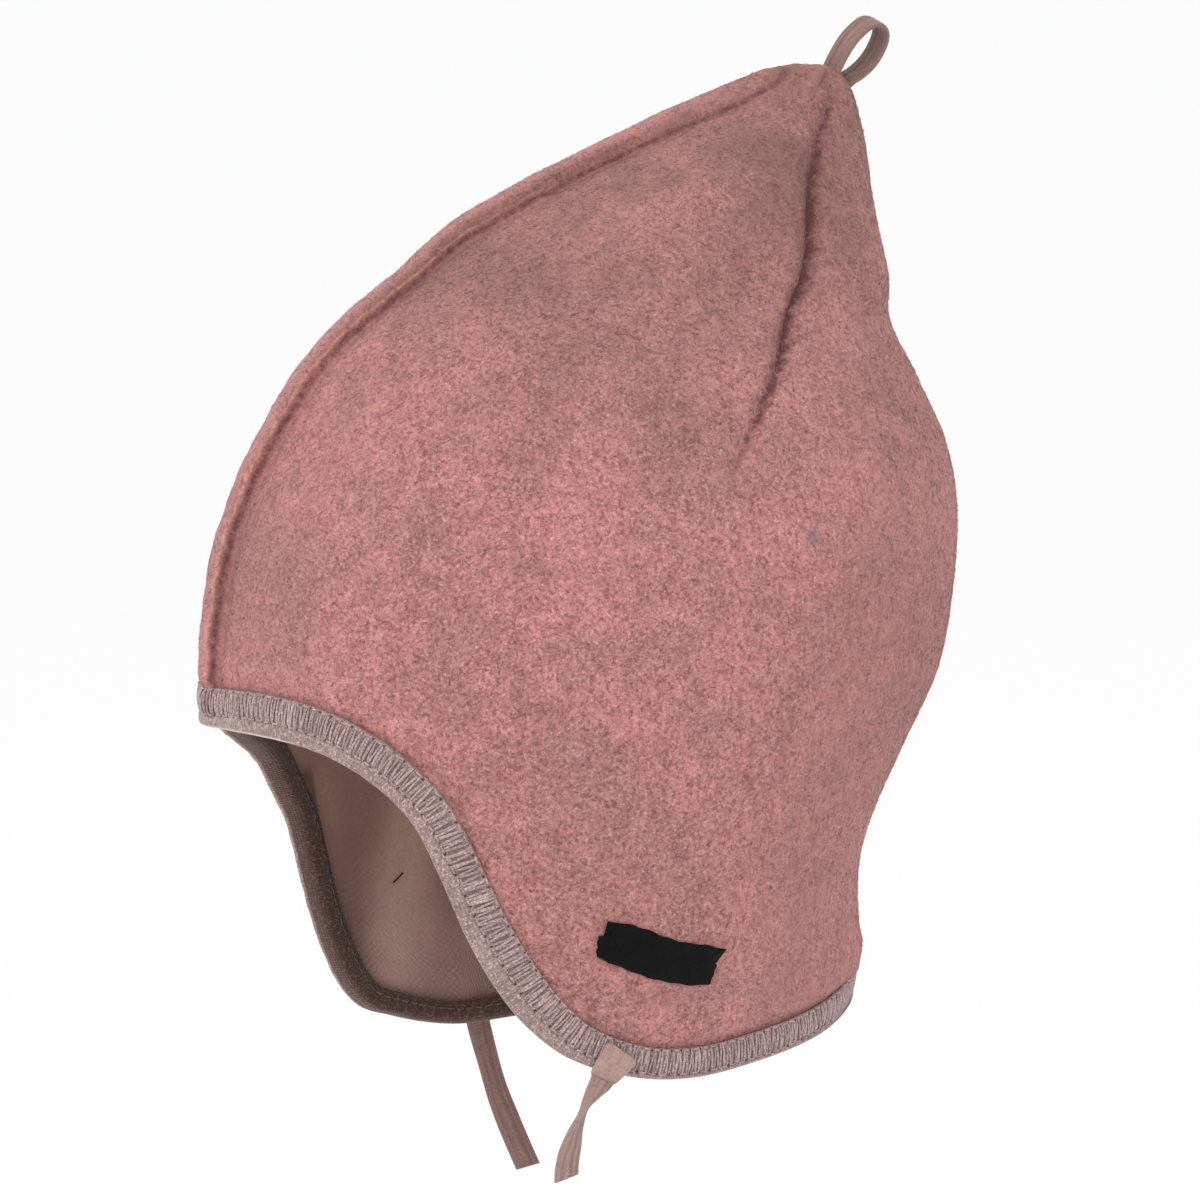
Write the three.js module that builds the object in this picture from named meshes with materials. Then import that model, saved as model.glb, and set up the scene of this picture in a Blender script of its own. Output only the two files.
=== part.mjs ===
// A baby's pixie bonnet: a pointed wool-fleece shell with two ear flaps, lined with cotton
// jersey and bound all round its edge. A raised seam runs from the brow to the point, a dart
// runs down each side of the back, a tape loop stands on the point, a tie hangs from each flap
// and a small leather-like label lies on the left one.
// Millimetres. +Z is up, the face looks along -Y and the wearer's left is +X.
// The origin is where the crown of the head carries the bonnet, on its middle plane.
import * as THREE from "three";

// Cloth thicknesses, and the gap that is kept between neighbouring pieces.
const GAP = 0.3;
const FLEECE = 2.2;
const JERSEY = 1.0;
const LINING_OUTSIDE = FLEECE + GAP;
const LINING_INSIDE = LINING_OUTSIDE + JERSEY;

// Sections of the shell's outer face from the flap tips up to the point, a row for each.
// front and back say where a section crosses the middle plane. A frontTaper of 1 is a round
// end and 2 a sharp one. A backTaper below 1 is a broad back.
const SECTION_COLUMNS = [
  "level", "frontY", "frontZ", "backY", "backZ", "halfWidth", "frontTaper", "backTaper",
];
const SECTIONS = [
  [-175, -72, -175, 66, -175, 54, 1, 0.9],
  [-145, -75, -145, 68, -145, 60, 1, 0.9],
  [-120, -77, -120, 68, -120, 64, 1, 0.9],
  [-96, -79, -96, 78.2, -96.1, 67, 1.1, 0.9],
  [-75, -79.4, -75, 87.9, -76.1, 68, 1.1, 0.9],
  [-50, -75.4, -49, 92.1, -50, 66, 1.1, 0.9],
  [-25, -65.1, -25.5, 89.7, -29, 57, 1.3, 0.8],
  [-6, -51.5, -6.6, 83.1, -12.9, 48.5, 1.4, 0.8],
  [10, -35.5, 6.4, 77.4, -1.1, 40.5, 1.5, 0.8],
  [21, -21.2, 17.9, 77.8, 8.1, 34, 1.5, 0.8],
  [30, 1.1, 29.6, 76.1, 18, 27.5, 1.6, 0.8],
  [38, 18.2, 37.2, 74.8, 28, 21, 1.6, 0.8],
  [46, 35.6, 44.4, 74, 38.2, 14, 1.5, 0.8],
  [52, 51.6, 50.6, 72.4, 47, 8.8, 1.3, 0.9],
  [55, 58.4, 53.8, 71, 51, 5.8, 1.1, 1],
  [57, 62, 55.3, 68.4, 54, 3.6, 1, 1],
].map((row) => Object.fromEntries(SECTION_COLUMNS.map((name, i) => [name, row[i]])));

// The levels at which each face closes at the point, where the seam allowances thicken it.
const TOPS = { shellOutside: 56.8, shellInside: 53, liningOutside: 52.4, liningInside: 50.6 };

// The level of the cloth's edge at each angle round the head from the middle of the brow,
// for the wearer's left and right, and how far up from it the binding covers the outside.
// The flaps hang between 60 and 120 degrees.
const EDGE = [
  { angle: 0, left: -87.6, right: -87.6, cover: 8.2 },
  { angle: 20, left: -88.6, right: -88.6, cover: 8.3 },
  { angle: 32, left: -91.2, right: -90.4, cover: 8.2 },
  { angle: 42, left: -97.2, right: -95, cover: 8 },
  { angle: 50, left: -106.4, right: -102.4, cover: 7.9 },
  { angle: 55.5, left: -119, right: -111.4, cover: 8.2 },
  { angle: 60, left: -131.5, right: -125.6, cover: 8.6 },
  { angle: 64.5, left: -141.5, right: -145, cover: 8.8 },
  { angle: 70, left: -150, right: -155.6, cover: 8.4 },
  { angle: 78, left: -157.4, right: -160.5, cover: 7.2 },
  { angle: 90, left: -162, right: -162.4, cover: 6 },
  { angle: 102, left: -162.8, right: -161.2, cover: 5.8 },
  { angle: 116, left: -160.4, right: -159, cover: 5.8 },
  { angle: 134, left: -156.6, right: -155.5, cover: 6 },
  { angle: 156, left: -150, right: -150, cover: 6.2 },
  { angle: 180, left: -146.5, right: -146.5, cover: 6.4 },
];

// The dart's angle and its depth, from its lower end up to the point.
const DART = [
  { level: -34, angle: 96.5, depth: 0 },
  { level: -24, angle: 97, depth: 0.5 },
  { level: -8, angle: 104.5, depth: 1.6 },
  { level: 8, angle: 110, depth: 2.2 },
  { level: 22, angle: 112.5, depth: 2.3 },
  { level: 34, angle: 105.5, depth: 2.0 },
  { level: 46, angle: 98.5, depth: 1.2 },
  { level: 57, angle: 95, depth: 0.3 },
];
const DART_HALF_WIDTH = 3.5;

// The raised front seam, and its cross-section as shares of its half width and height.
const WELT = { halfWidth: 2.4, height: 4.0, startLevel: -78.8, endLevel: 56, tail: 5 };
const WELT_SECTION = [
  { across: 1, rise: 0 },
  { across: 1.1, rise: 0.4 },
  { across: 0.9, rise: 0.8 },
  { across: 0.4, rise: 1 },
  { across: -0.4, rise: 1 },
  { across: -0.9, rise: 0.8 },
  { across: -1.1, rise: 0.4 },
  { across: -1, rise: 0 },
  { across: -0.5, rise: 0 },
  { across: 0, rise: 0 },
  { across: 0.5, rise: 0 },
];

// The edge binding: a folded strip that holds the edges of the shell and the lining.
const BINDING = { thick: 1.0, inside: 4.6, insideGap: 0.5 };

// The ties: flat tapes that start on the outside of the binding. turn twists the tape, in
// degrees about its own run.
const TIE = { width: 5.6, thick: 1.1 };
const LEFT_TIE = [
  { x: 60, y: -7.8, z: -156.2, turn: 0 },
  { x: 59.3, y: -9.7, z: -159.2, turn: 0 },
  { x: 58.7, y: -11.3, z: -161.8, turn: 0 },
  { x: 58, y: -12.2, z: -164.2, turn: 12 },
  { x: 56, y: -13.5, z: -167.2, turn: 48 },
  { x: 54, y: -14.6, z: -170.4, turn: 62 },
  { x: 51.6, y: -15.4, z: -174.6, turn: 40 },
  { x: 49, y: -15.6, z: -179.4, turn: 14 },
  { x: 46.8, y: -15.4, z: -183.2, turn: 4 },
  { x: 45.4, y: -15, z: -185.9, turn: 0 },
];
const RIGHT_TIE = [
  { x: -59.8, y: 2.4, z: -155.6, turn: 0 },
  { x: -59.4, y: 3.7, z: -159, turn: 0 },
  { x: -58.8, y: 4.5, z: -162, turn: 0 },
  { x: -58.4, y: 5.1, z: -165.4, turn: 0 },
  { x: -57.4, y: 6.6, z: -172, turn: 5 },
  { x: -55, y: 8, z: -179.4, turn: 8 },
  { x: -52.5, y: 9.8, z: -186.1, turn: 8 },
  { x: -50, y: 11.7, z: -192.3, turn: 8 },
  { x: -48, y: 12.9, z: -196.3, turn: 8 },
];

// The hanging loop: a tape folded over, standing on the point. rise runs along its axis.
const LOOP = { width: 5.4, thick: 1.2, foot: [0, 69.05, 53.35] };
const LOOP_AXIS = new THREE.Vector3(0.154, 0.536, 0.828).normalize();
const LOOP_ACROSS = new THREE.Vector3(-0.44, 0.788, -0.429).normalize();
const LOOP_PATH = [
  { rise: 0.6, out: -3.0 },
  { rise: 4, out: -3.6 },
  { rise: 7.6, out: -3.7 },
  { rise: 10.8, out: -2.9 },
  { rise: 13.2, out: -1.6 },
  { rise: 14.3, out: 0.5 },
  { rise: 14.1, out: 2.5 },
  { rise: 12.9, out: 4.1 },
  { rise: 10.9, out: 5.1 },
  { rise: 8.2, out: 5.6 },
  { rise: 5.4, out: 5.4 },
  { rise: 2.6, out: 4.4 },
  { rise: 0.2, out: 3.0 },
];

// The label: its middle on the left flap, its tilt in degrees, and stations along it. Its
// lower and upper halves are stepped against each other at both ends.
const LABEL = { angle: 93.5, level: -136, tilt: -15, thick: 0.9, lowMiddle: 0.5, highMiddle: 1 };
const LABEL_STATIONS = [
  { bottomX: -13.8, bottomY: -3.8, lowX: -14.5, highX: -13, topX: -13.7, topY: 4.3 },
  { bottomX: -9.2, bottomY: -4.6, lowX: -9.4, highX: -9, topX: -9.2, topY: 4.9 },
  { bottomX: -4.6, bottomY: -5.2, lowX: -4.6, highX: -4.4, topX: -4.4, topY: 4.7 },
  { bottomX: 0, bottomY: -5.6, lowX: 0, highX: 0.2, topX: 0.4, topY: 4 },
  { bottomX: 4.6, bottomY: -5.4, lowX: 4.5, highX: 4.9, topX: 5.3, topY: 3.9 },
  { bottomX: 9.2, bottomY: -5, lowX: 9, highX: 9.6, topX: 10.4, topY: 4.4 },
  { bottomX: 13.5, bottomY: -3.8, lowX: 13.4, highX: 14.4, topX: 15.7, topY: 4.5 },
];

// How finely the solids are divided.
const COLUMNS = { beforeDart: 16, afterDart: 11 };
const ROWS = { cloth: 16, welt: 30 };
const TAPE_STEPS = 2;

const { clamp, degToRad, euclideanModulo, lerp, radToDeg } = THREE.MathUtils;

// A column of a table at any place along it: a smooth cubic through the rows.
function fromTable(rows, key, place, column) {
  const last = rows.length - 1;
  const slope = (i) => {
    const low = rows[Math.max(i - 1, 0)];
    const high = rows[Math.min(i + 1, last)];
    return (high[column] - low[column]) / (high[key] - low[key]);
  };
  let i = 0;
  while (i < last - 1 && place > rows[i + 1][key]) i += 1;
  const width = rows[i + 1][key] - rows[i][key];
  const t = clamp((place - rows[i][key]) / width, 0, 1);
  const t2 = t * t;
  const t3 = t2 * t;
  return (
    (2 * t3 - 3 * t2 + 1) * rows[i][column] +
    (t3 - 2 * t2 + t) * width * slope(i) +
    (3 * t2 - 2 * t3) * rows[i + 1][column] +
    (t3 - t2) * width * slope(i + 1)
  );
}

const section = (level, column) => fromTable(SECTIONS, "level", level, column);

// An angle brought between -pi and pi: 0 is the front, positive is the wearer's left.
const wrap = (angle) => euclideanModulo(angle + Math.PI, 2 * Math.PI) - Math.PI;

// Where a section crosses the middle plane in front or behind, moved inwards by inset.
function middlePoint(end, level, inset) {
  const STEP = 0.5;
  const y = section(level, end + "Y");
  const z = section(level, end + "Z");
  const dy = section(level + STEP, end + "Y") - section(level - STEP, end + "Y");
  const dz = section(level + STEP, end + "Z") - section(level - STEP, end + "Z");
  const turn = (end === "front" ? inset : -inset) / Math.hypot(dy, dz);
  return { y: y + dz * turn, z: z - dy * turn };
}

// A point of the shell's outer face, or of a face that lies inset millimetres inside it.
function shellPoint(angle, level, inset = 0) {
  const turned = wrap(angle);
  const front = middlePoint("front", level, inset);
  const back = middlePoint("back", level, inset);
  const share = (1 - Math.cos(turned)) / 2;
  const taper = lerp(section(level, "frontTaper"), section(level, "backTaper"), share);
  const reach = (section(level, "halfWidth") - inset) * Math.abs(Math.sin(turned)) ** taper;
  return new THREE.Vector3(
    Math.sign(turned) * reach,
    lerp(front.y, back.y, share),
    lerp(front.z, back.z, share),
  );
}

// A column of the edge's table at an angle, and the level of the edge there.
function edgeValue(angle, column) {
  return fromTable(EDGE, "angle", radToDeg(Math.abs(wrap(angle))), column);
}
const edgeLevel = (angle) => edgeValue(angle, wrap(angle) >= 0 ? "left" : "right");

// The angle at which a section is across millimetres from the middle plane in front.
function angleAcross(level, across) {
  const share = clamp(Math.abs(across) / section(level, "halfWidth"), 0, 0.95);
  return Math.sign(across) * Math.asin(share ** (1 / section(level, "frontTaper")));
}

// How much of the way round a side each column stands: evenly along the cloth's edge.
function evenShares(from, to, count) {
  const FINE = 200;
  const lengths = [0];
  let last = shellPoint(from, edgeLevel(from));
  for (let i = 1; i <= FINE; i += 1) {
    const angle = lerp(from, to, i / FINE);
    const next = shellPoint(angle, edgeLevel(angle));
    lengths.push(lengths[i - 1] + next.distanceTo(last));
    last = next;
  }
  const shares = [];
  for (let i = 1; i <= count; i += 1) {
    const wanted = (lengths[FINE] * i) / count;
    shares.push(lengths.findIndex((length) => length >= wanted - 1e-6) / FINE);
  }
  return shares;
}

const dartAngle = (level) => degToRad(fromTable(DART, "level", level, "angle"));
const halfLength = (level) => (section(level, "backY") - section(level, "frontY")) / 2;
const LOWEST_DART = dartAngle(DART[0].level);
const SHARES_BEFORE = evenShares(0.1, LOWEST_DART, COLUMNS.beforeDart);
const SHARES_AFTER = evenShares(LOWEST_DART, Math.PI, COLUMNS.afterDart);

// The angles of one side's columns at a level: they follow the seam's foot and the dart.
function columnAngles(level) {
  const foot = angleAcross(level, WELT.halfWidth + 0.8);
  const dart = dartAngle(level);
  const beside = Math.min(DART_HALF_WIDTH / halfLength(level), 0.5);
  return [
    0,
    foot / 2,
    foot,
    ...SHARES_BEFORE.map((share) => lerp(foot, dart - beside, share)),
    dart,
    dart + beside,
    ...SHARES_AFTER.map((share) => lerp(dart + beside, Math.PI, share)),
  ];
}

// The same columns right round: the left side, then the right side back to the front.
function ringAngles(level) {
  const left = columnAngles(level);
  const right = left.slice(1, -1).map((angle) => -angle).reverse();
  return [...left, ...right];
}

// How deep the dart pulls the cloth in at an angle.
function dartDepth(angle, level) {
  const lowest = DART[0].level;
  if (level <= lowest) return 0;
  const away = Math.abs(Math.abs(angle) - dartAngle(level)) * halfLength(level);
  const share = clamp(1 - away / DART_HALF_WIDTH, 0, 1);
  return fromTable(DART, "level", level, "depth") * share;
}

// Rings of one face of a cloth cup, from its edge up to its top.
function cupRings(topLevel, inset) {
  const rows = ROWS.cloth;
  const bottoms = ringAngles(DART[0].level).map((start, j) => {
    let level = edgeLevel(start);
    for (let pass = 0; pass < 12; pass += 1) level = edgeLevel(ringAngles(level)[j]);
    return level;
  });
  const rings = [];
  for (let i = 0; i <= rows; i += 1) {
    const share = 1 - (1 - i / rows) ** 1.2;
    rings.push(
      bottoms.map((bottom, j) => {
        const level = lerp(bottom, topLevel, share);
        const angle = ringAngles(level)[j];
        return shellPoint(angle, level, inset + dartDepth(angle, level));
      }),
    );
  }
  return rings;
}

// A closed solid skinned over rings of equally many points. Open chains get a cap at each end.
// Every quad is split along the same diagonal, whether its chain runs up or down.
function skin(rings, closed = false) {
  const count = rings[0].length;
  const points = rings.flat();
  const faces = [];
  const strips = closed ? rings.length : rings.length - 1;
  for (let i = 0; i < strips; i += 1) {
    const near = i * count;
    const far = ((i + 1) % rings.length) * count;
    const rising = points[far].z > points[near].z;
    for (let j = 0; j < count; j += 1) {
      const k = (j + 1) % count;
      if (rising) {
        faces.push([near + j, near + k, far + k], [near + j, far + k, far + j]);
      } else {
        faces.push([near + j, near + k, far + j], [near + k, far + k, far + j]);
      }
    }
  }
  const cap = (start, flip) => {
    const middle = new THREE.Vector3();
    for (let j = 0; j < count; j += 1) middle.addScaledVector(points[start + j], 1 / count);
    const centre = points.push(middle) - 1;
    for (let j = 0; j < count; j += 1) {
      const a = start + j;
      const b = start + ((j + 1) % count);
      faces.push(flip ? [centre, b, a] : [centre, a, b]);
    }
  };
  if (!closed) {
    cap(0, true);
    cap((rings.length - 1) * count, false);
  }
  const volume = faces.reduce((sum, [a, b, c]) => {
    return sum + points[a].dot(points[b].clone().cross(points[c]));
  }, 0);
  const indices = faces.flatMap(([a, b, c]) => (volume > 0 ? [a, b, c] : [a, c, b]));
  const geometry = new THREE.BufferGeometry().setFromPoints(points);
  geometry.setIndex(indices);
  geometry.computeVertexNormals();
  return geometry;
}

// The shell: its inner face from the point down, then its outer face from the edge up.
function makeShell() {
  const inner = cupRings(TOPS.shellInside, FLEECE).reverse();
  return skin([...inner, ...cupRings(TOPS.shellOutside, 0)]);
}

// The lining: the same way, just inside the shell.
function makeLining() {
  const inner = cupRings(TOPS.liningInside, LINING_INSIDE).reverse();
  return skin([...inner, ...cupRings(TOPS.liningOutside, LINING_OUTSIDE)]);
}

// The raised seam: its section carried up the middle of the front, fading out at the point.
function makeWelt() {
  const { halfWidth, height, startLevel, endLevel, tail } = WELT;
  const rings = [];
  for (let i = 0; i <= ROWS.welt; i += 1) {
    const level = lerp(startLevel, endLevel, 1 - (1 - i / ROWS.welt) ** 1.3);
    const fade = Math.sqrt(clamp((endLevel - level) / tail, 0.12, 1));
    rings.push(
      WELT_SECTION.map(({ across, rise }) => {
        const angle = angleAcross(level, across * halfWidth * fade);
        return shellPoint(angle, level, -GAP - rise * height * fade);
      }),
    );
  }
  return skin(rings);
}

// A point near the cloth's edge: distance up from it, measured across the cloth.
function nearEdge(angle, distance, inset) {
  const STEP = 0.01;
  const level = edgeLevel(angle);
  const across = shellPoint(angle + STEP, level).sub(shellPoint(angle - STEP, level));
  across.divideScalar(2 * STEP);
  const up = shellPoint(angle, level + 1).sub(shellPoint(angle, level - 1)).divideScalar(2);
  const slope = (edgeLevel(angle + STEP) - edgeLevel(angle - STEP)) / (2 * STEP);
  const along = across.clone().addScaledVector(up, slope).normalize();
  const away = up.clone().addScaledVector(along, -up.dot(along)).normalize();
  // The steps in angle and level that together move one millimetre along away.
  const aa = across.dot(across);
  const uu = up.dot(up);
  const au = across.dot(up);
  const determinant = aa * uu - au * au;
  const turn = (away.dot(across) * uu - away.dot(up) * au) / determinant;
  const rise = (away.dot(up) * aa - away.dot(across) * au) / determinant;
  return shellPoint(angle + turn * distance, level + rise * distance, inset);
}

// The binding: a U-shaped section carried right round the edge. The section is given as
// distances up from the edge, or shares of its cover, and insets from the shell's outer face.
function makeBinding() {
  const { thick, inside, insideGap } = BINDING;
  const outer = -GAP - thick;
  const inner = LINING_INSIDE + insideGap + thick;
  const bottom = -GAP - thick;
  const outline = [
    { cover: 1, distance: 0, inset: -GAP },
    { cover: 1, distance: 0, inset: outer },
    { cover: 0.5, distance: 0, inset: outer },
    { distance: 0, inset: outer },
    { distance: bottom, inset: outer + 0.9 },
    { distance: bottom, inset: inner - 0.9 },
    { distance: 0, inset: inner },
    { distance: inside / 2, inset: inner },
    { distance: inside, inset: inner },
    { distance: inside, inset: inner - thick },
    { distance: inside / 2, inset: inner - thick },
    { distance: -GAP, inset: inner - thick },
    { distance: -GAP, inset: -GAP },
    { cover: 0.5, distance: 0, inset: -GAP },
  ];
  const rings = ringAngles(edgeLevel(Math.PI)).map((angle) => {
    const covered = edgeValue(angle, "cover");
    return outline.map(({ cover = 0, distance, inset }) => {
      return nearEdge(angle, distance + cover * covered, inset);
    });
  });
  return skin(rings, true);
}

// A flat tape along a path. across gives the direction of its width at a place on the path.
function tape(path, steps, { width, thick }, across) {
  const curve = new THREE.CatmullRomCurve3(path);
  const rings = [];
  for (let i = 0; i <= steps; i += 1) {
    const place = i / steps;
    const run = curve.getTangent(place);
    const wide = across(place, run).normalize();
    const face = new THREE.Vector3().crossVectors(run, wide).normalize();
    const corner = (side, depth) => {
      const point = curve.getPoint(place).addScaledVector(wide, (side * width) / 2);
      return point.addScaledVector(face, (depth * thick) / 2);
    };
    rings.push([corner(-1, -1), corner(0, -1), corner(1, -1), corner(1, 1), corner(0, 1), corner(-1, 1)]);
  }
  return skin(rings);
}

// A tie: its width lies along the head, turned about its run by the table's turn.
function makeTie(rows) {
  const stations = rows.map((row, i) => ({ ...row, place: i / (rows.length - 1) }));
  const path = rows.map(({ x, y, z }) => new THREE.Vector3(x, y, z));
  return tape(path, TAPE_STEPS * (rows.length - 1), TIE, (place, run) => {
    const wide = new THREE.Vector3(1, 0, 0).cross(run);
    const turn = degToRad(fromTable(stations, "place", place, "turn"));
    return wide.applyAxisAngle(run, turn);
  });
}

function makeLoop() {
  const foot = new THREE.Vector3(...LOOP.foot);
  const path = LOOP_PATH.map(({ rise, out }) => {
    return foot.clone().addScaledVector(LOOP_AXIS, rise).addScaledVector(LOOP_ACROSS, out);
  });
  const wide = new THREE.Vector3().crossVectors(LOOP_AXIS, LOOP_ACROSS);
  return tape(path, TAPE_STEPS * (path.length - 1), LOOP, () => wide.clone());
}

// A point of the label: along and up in its own plane, laid round the shell.
function labelPoint(along, up, inset) {
  const tilt = degToRad(LABEL.tilt);
  const turn = (along * Math.cos(tilt) - up * Math.sin(tilt)) / halfLength(LABEL.level);
  const rise = along * Math.sin(tilt) + up * Math.cos(tilt);
  return shellPoint(degToRad(LABEL.angle) + turn, LABEL.level + rise, inset);
}

function makeLabel() {
  const rings = LABEL_STATIONS.map((station) => {
    const outline = [
      { x: station.bottomX, y: station.bottomY },
      { x: station.lowX, y: LABEL.lowMiddle },
      { x: station.highX, y: LABEL.highMiddle },
      { x: station.topX, y: station.topY },
    ];
    const under = outline.map(({ x, y }) => labelPoint(x, y, -GAP));
    const over = outline.map(({ x, y }) => labelPoint(x, y, -GAP - LABEL.thick)).reverse();
    return [...under, ...over];
  });
  return skin(rings);
}

const PINK_WOOL = { color: 0xb9817d, roughness: 0.95, metalness: 0 };
const MAUVE_JERSEY = { color: 0x8f7570, roughness: 0.9, metalness: 0 };
const TAUPE_BINDING = { color: 0xa58a8a, roughness: 0.88, metalness: 0 };
const TAUPE_TAPE = { color: 0x967c76, roughness: 0.88, metalness: 0 };
const BLACK_LEATHER = { color: 0x201f1e, roughness: 0.55, metalness: 0 };

function piece(name, geometry, finish) {
  const mesh = new THREE.Mesh(geometry, new THREE.MeshStandardMaterial(finish));
  mesh.name = name;
  return mesh;
}

const group = new THREE.Group();
group.name = "pixie_bonnet";
group.add(piece("outer_shell", makeShell(), PINK_WOOL));
group.add(piece("front_seam_welt", makeWelt(), PINK_WOOL));
group.add(piece("lining", makeLining(), MAUVE_JERSEY));
group.add(piece("edge_binding", makeBinding(), TAUPE_BINDING));
group.add(piece("left_tie", makeTie(LEFT_TIE), TAUPE_TAPE));
group.add(piece("right_tie", makeTie(RIGHT_TIE), TAUPE_TAPE));
group.add(piece("hanging_loop", makeLoop(), TAUPE_TAPE));
group.add(piece("label", makeLabel(), BLACK_LEATHER));

export default group;
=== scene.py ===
"""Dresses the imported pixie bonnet: wool fleece with its pile, jersey lining, stitched binding,
tape ties and loop, and a leather-like label. Lengths in the tables are millimetres."""

import bpy
import numpy as np
from mathutils import Matrix, Vector


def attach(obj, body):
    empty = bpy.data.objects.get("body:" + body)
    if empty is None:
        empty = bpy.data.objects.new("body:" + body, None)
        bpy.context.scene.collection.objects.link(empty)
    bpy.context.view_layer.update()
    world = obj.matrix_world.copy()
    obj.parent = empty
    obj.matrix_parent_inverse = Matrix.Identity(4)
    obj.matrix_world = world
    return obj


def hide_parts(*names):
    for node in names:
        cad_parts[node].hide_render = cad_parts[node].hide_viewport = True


bl_info = {
    "name": "Pixie Bonnet",
    "version": (1, 0, 0),
    "blender": (4, 5, 0),
    "location": "3D View > Sidebar > Bonnet",
    "description": "Dresses a baby's pixie bonnet in wool fleece, jersey, tape and leather",
    "category": "Object",
}

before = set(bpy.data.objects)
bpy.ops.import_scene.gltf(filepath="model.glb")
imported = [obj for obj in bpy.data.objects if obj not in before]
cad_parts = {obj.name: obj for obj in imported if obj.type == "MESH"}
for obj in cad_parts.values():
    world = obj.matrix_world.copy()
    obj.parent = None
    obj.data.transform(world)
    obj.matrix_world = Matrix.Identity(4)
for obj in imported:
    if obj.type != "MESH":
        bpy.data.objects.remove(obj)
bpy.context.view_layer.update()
MM = 0.001

# Tables of the bonnet's shape, close to that of its solids.


def table(columns, rows):
    """Named columns from rows of numbers."""
    return dict(zip(columns.split(), np.array(rows, dtype=float).T))


SECTIONS = table("level frontY frontZ backY backZ halfWidth frontTaper backTaper", [
    [-175, -72, -175, 66, -175, 54, 1, 0.9],
    [-145, -75, -145, 68, -145, 60, 1, 0.9],
    [-120, -77, -120, 68, -120, 64, 1, 0.9],
    [-96, -79, -96, 78.2, -96.1, 67, 1.1, 0.9],
    [-75, -79.4, -75, 87.9, -76.1, 68, 1.1, 0.9],
    [-50, -75.4, -49, 92.1, -50, 66, 1.1, 0.9],
    [-25, -65.1, -25.5, 89.7, -29, 57, 1.3, 0.8],
    [-6, -51.5, -6.6, 83.1, -12.9, 48.5, 1.4, 0.8],
    [10, -35.5, 6.4, 77.4, -1.1, 40.5, 1.5, 0.8],
    [21, -21.2, 17.9, 77.8, 8.1, 34, 1.5, 0.8],
    [30, 1.1, 29.6, 76.1, 18, 27.5, 1.6, 0.8],
    [38, 18.2, 37.2, 74.8, 28, 21, 1.6, 0.8],
    [46, 35.6, 44.4, 74, 38.2, 14, 1.5, 0.8],
    [52, 51.6, 50.6, 72.4, 47, 8.8, 1.3, 0.9],
    [55, 58.4, 53.8, 71, 51, 5.8, 1.1, 1],
    [57, 62, 55.3, 68.4, 54, 3.6, 1, 1],
])
EDGE = table("angle left right cover", [
    [0, -87.6, -87.6, 7.6],
    [20, -88.6, -88.6, 8.3],
    [32, -91.2, -90.4, 8.2],
    [42, -97.2, -95, 8],
    [50, -106.4, -100.5, 7.9],
    [55.5, -119, -108.9, 8.2],
    [60, -131.5, -118.3, 8.6],
    [64.5, -141.5, -142.1, 8.8],
    [70, -150, -155.4, 8.4],
    [78, -157.4, -159.8, 7.2],
    [90, -162, -162.4, 6],
    [102, -162.8, -161.2, 5.8],
    [116, -160.4, -159, 5.8],
    [134, -156.6, -155.5, 6],
    [156, -151, -151, 6.2],
    [180, -148, -148, 6.4],
])
DART = table("level angle depth", [
    [-40, 95, 0],
    [-30, 95.5, 0.4],
    [-22, 98.5, 0.8],
    [-8, 105.5, 1.6],
    [8, 111, 2.2],
    [22, 114.5, 2.3],
    [34, 109, 2.0],
    [46, 103.5, 1.2],
    [57, 98, 0.3],
])
DART_HALF_WIDTH = 3.5
DART_FRONT_REACH, DART_BACK_REACH = 5.2, 3.4
FLEECE = 2.2
LINING_OUTSIDE = 2.5
LINING_INSIDE = 3.5
TOPS = {"shell_outside": 56.8, "shell_inside": 53, "lining_outside": 52.4, "lining_inside": 50.6}
WELT = {"half_width": 2.4, "height": 4.2, "start": -82, "end": 56.9, "tail": 5}
# Where the welt's painted shadow lies up its flank, as a share of its height, and how wide it is,
# level by level.
WELT_LINE = table("level middle wide", [
    [-82, 0.5, 0.24], [-50, 0.44, 0.24], [-20, 0.32, 0.23], [8, 0.2, 0.2], [26, 0.1, 0.16],
    [40, 0.13, 0.14], [48, 0.32, 0.13], [51.2, 0.5, 0.14], [53.7, 0.9, 0.14], [55, 1.0, 0.14],
])

# The welt's section, as shares of its half width and height, round from one foot to the other.
# Its feet flare out and lie a little under the shell's face.
WELT_SECTION = table("across rise", [
    [1.8, -0.22], [1.46, -0.1], [1.24, 0.03], [1.12, 0.18], [1.07, 0.36], [1.05, 0.55],
    [0.96, 0.74], [0.75, 0.89], [0.42, 0.98], [0.0, 1.0], [-0.42, 0.98], [-0.75, 0.89],
    [-0.96, 0.74], [-1.05, 0.55], [-1.07, 0.36], [-1.12, 0.18], [-1.24, 0.03], [-1.46, -0.1],
    [-1.8, -0.22], [-0.7, -0.2], [0.0, -0.2], [0.7, -0.2],
])

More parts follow.
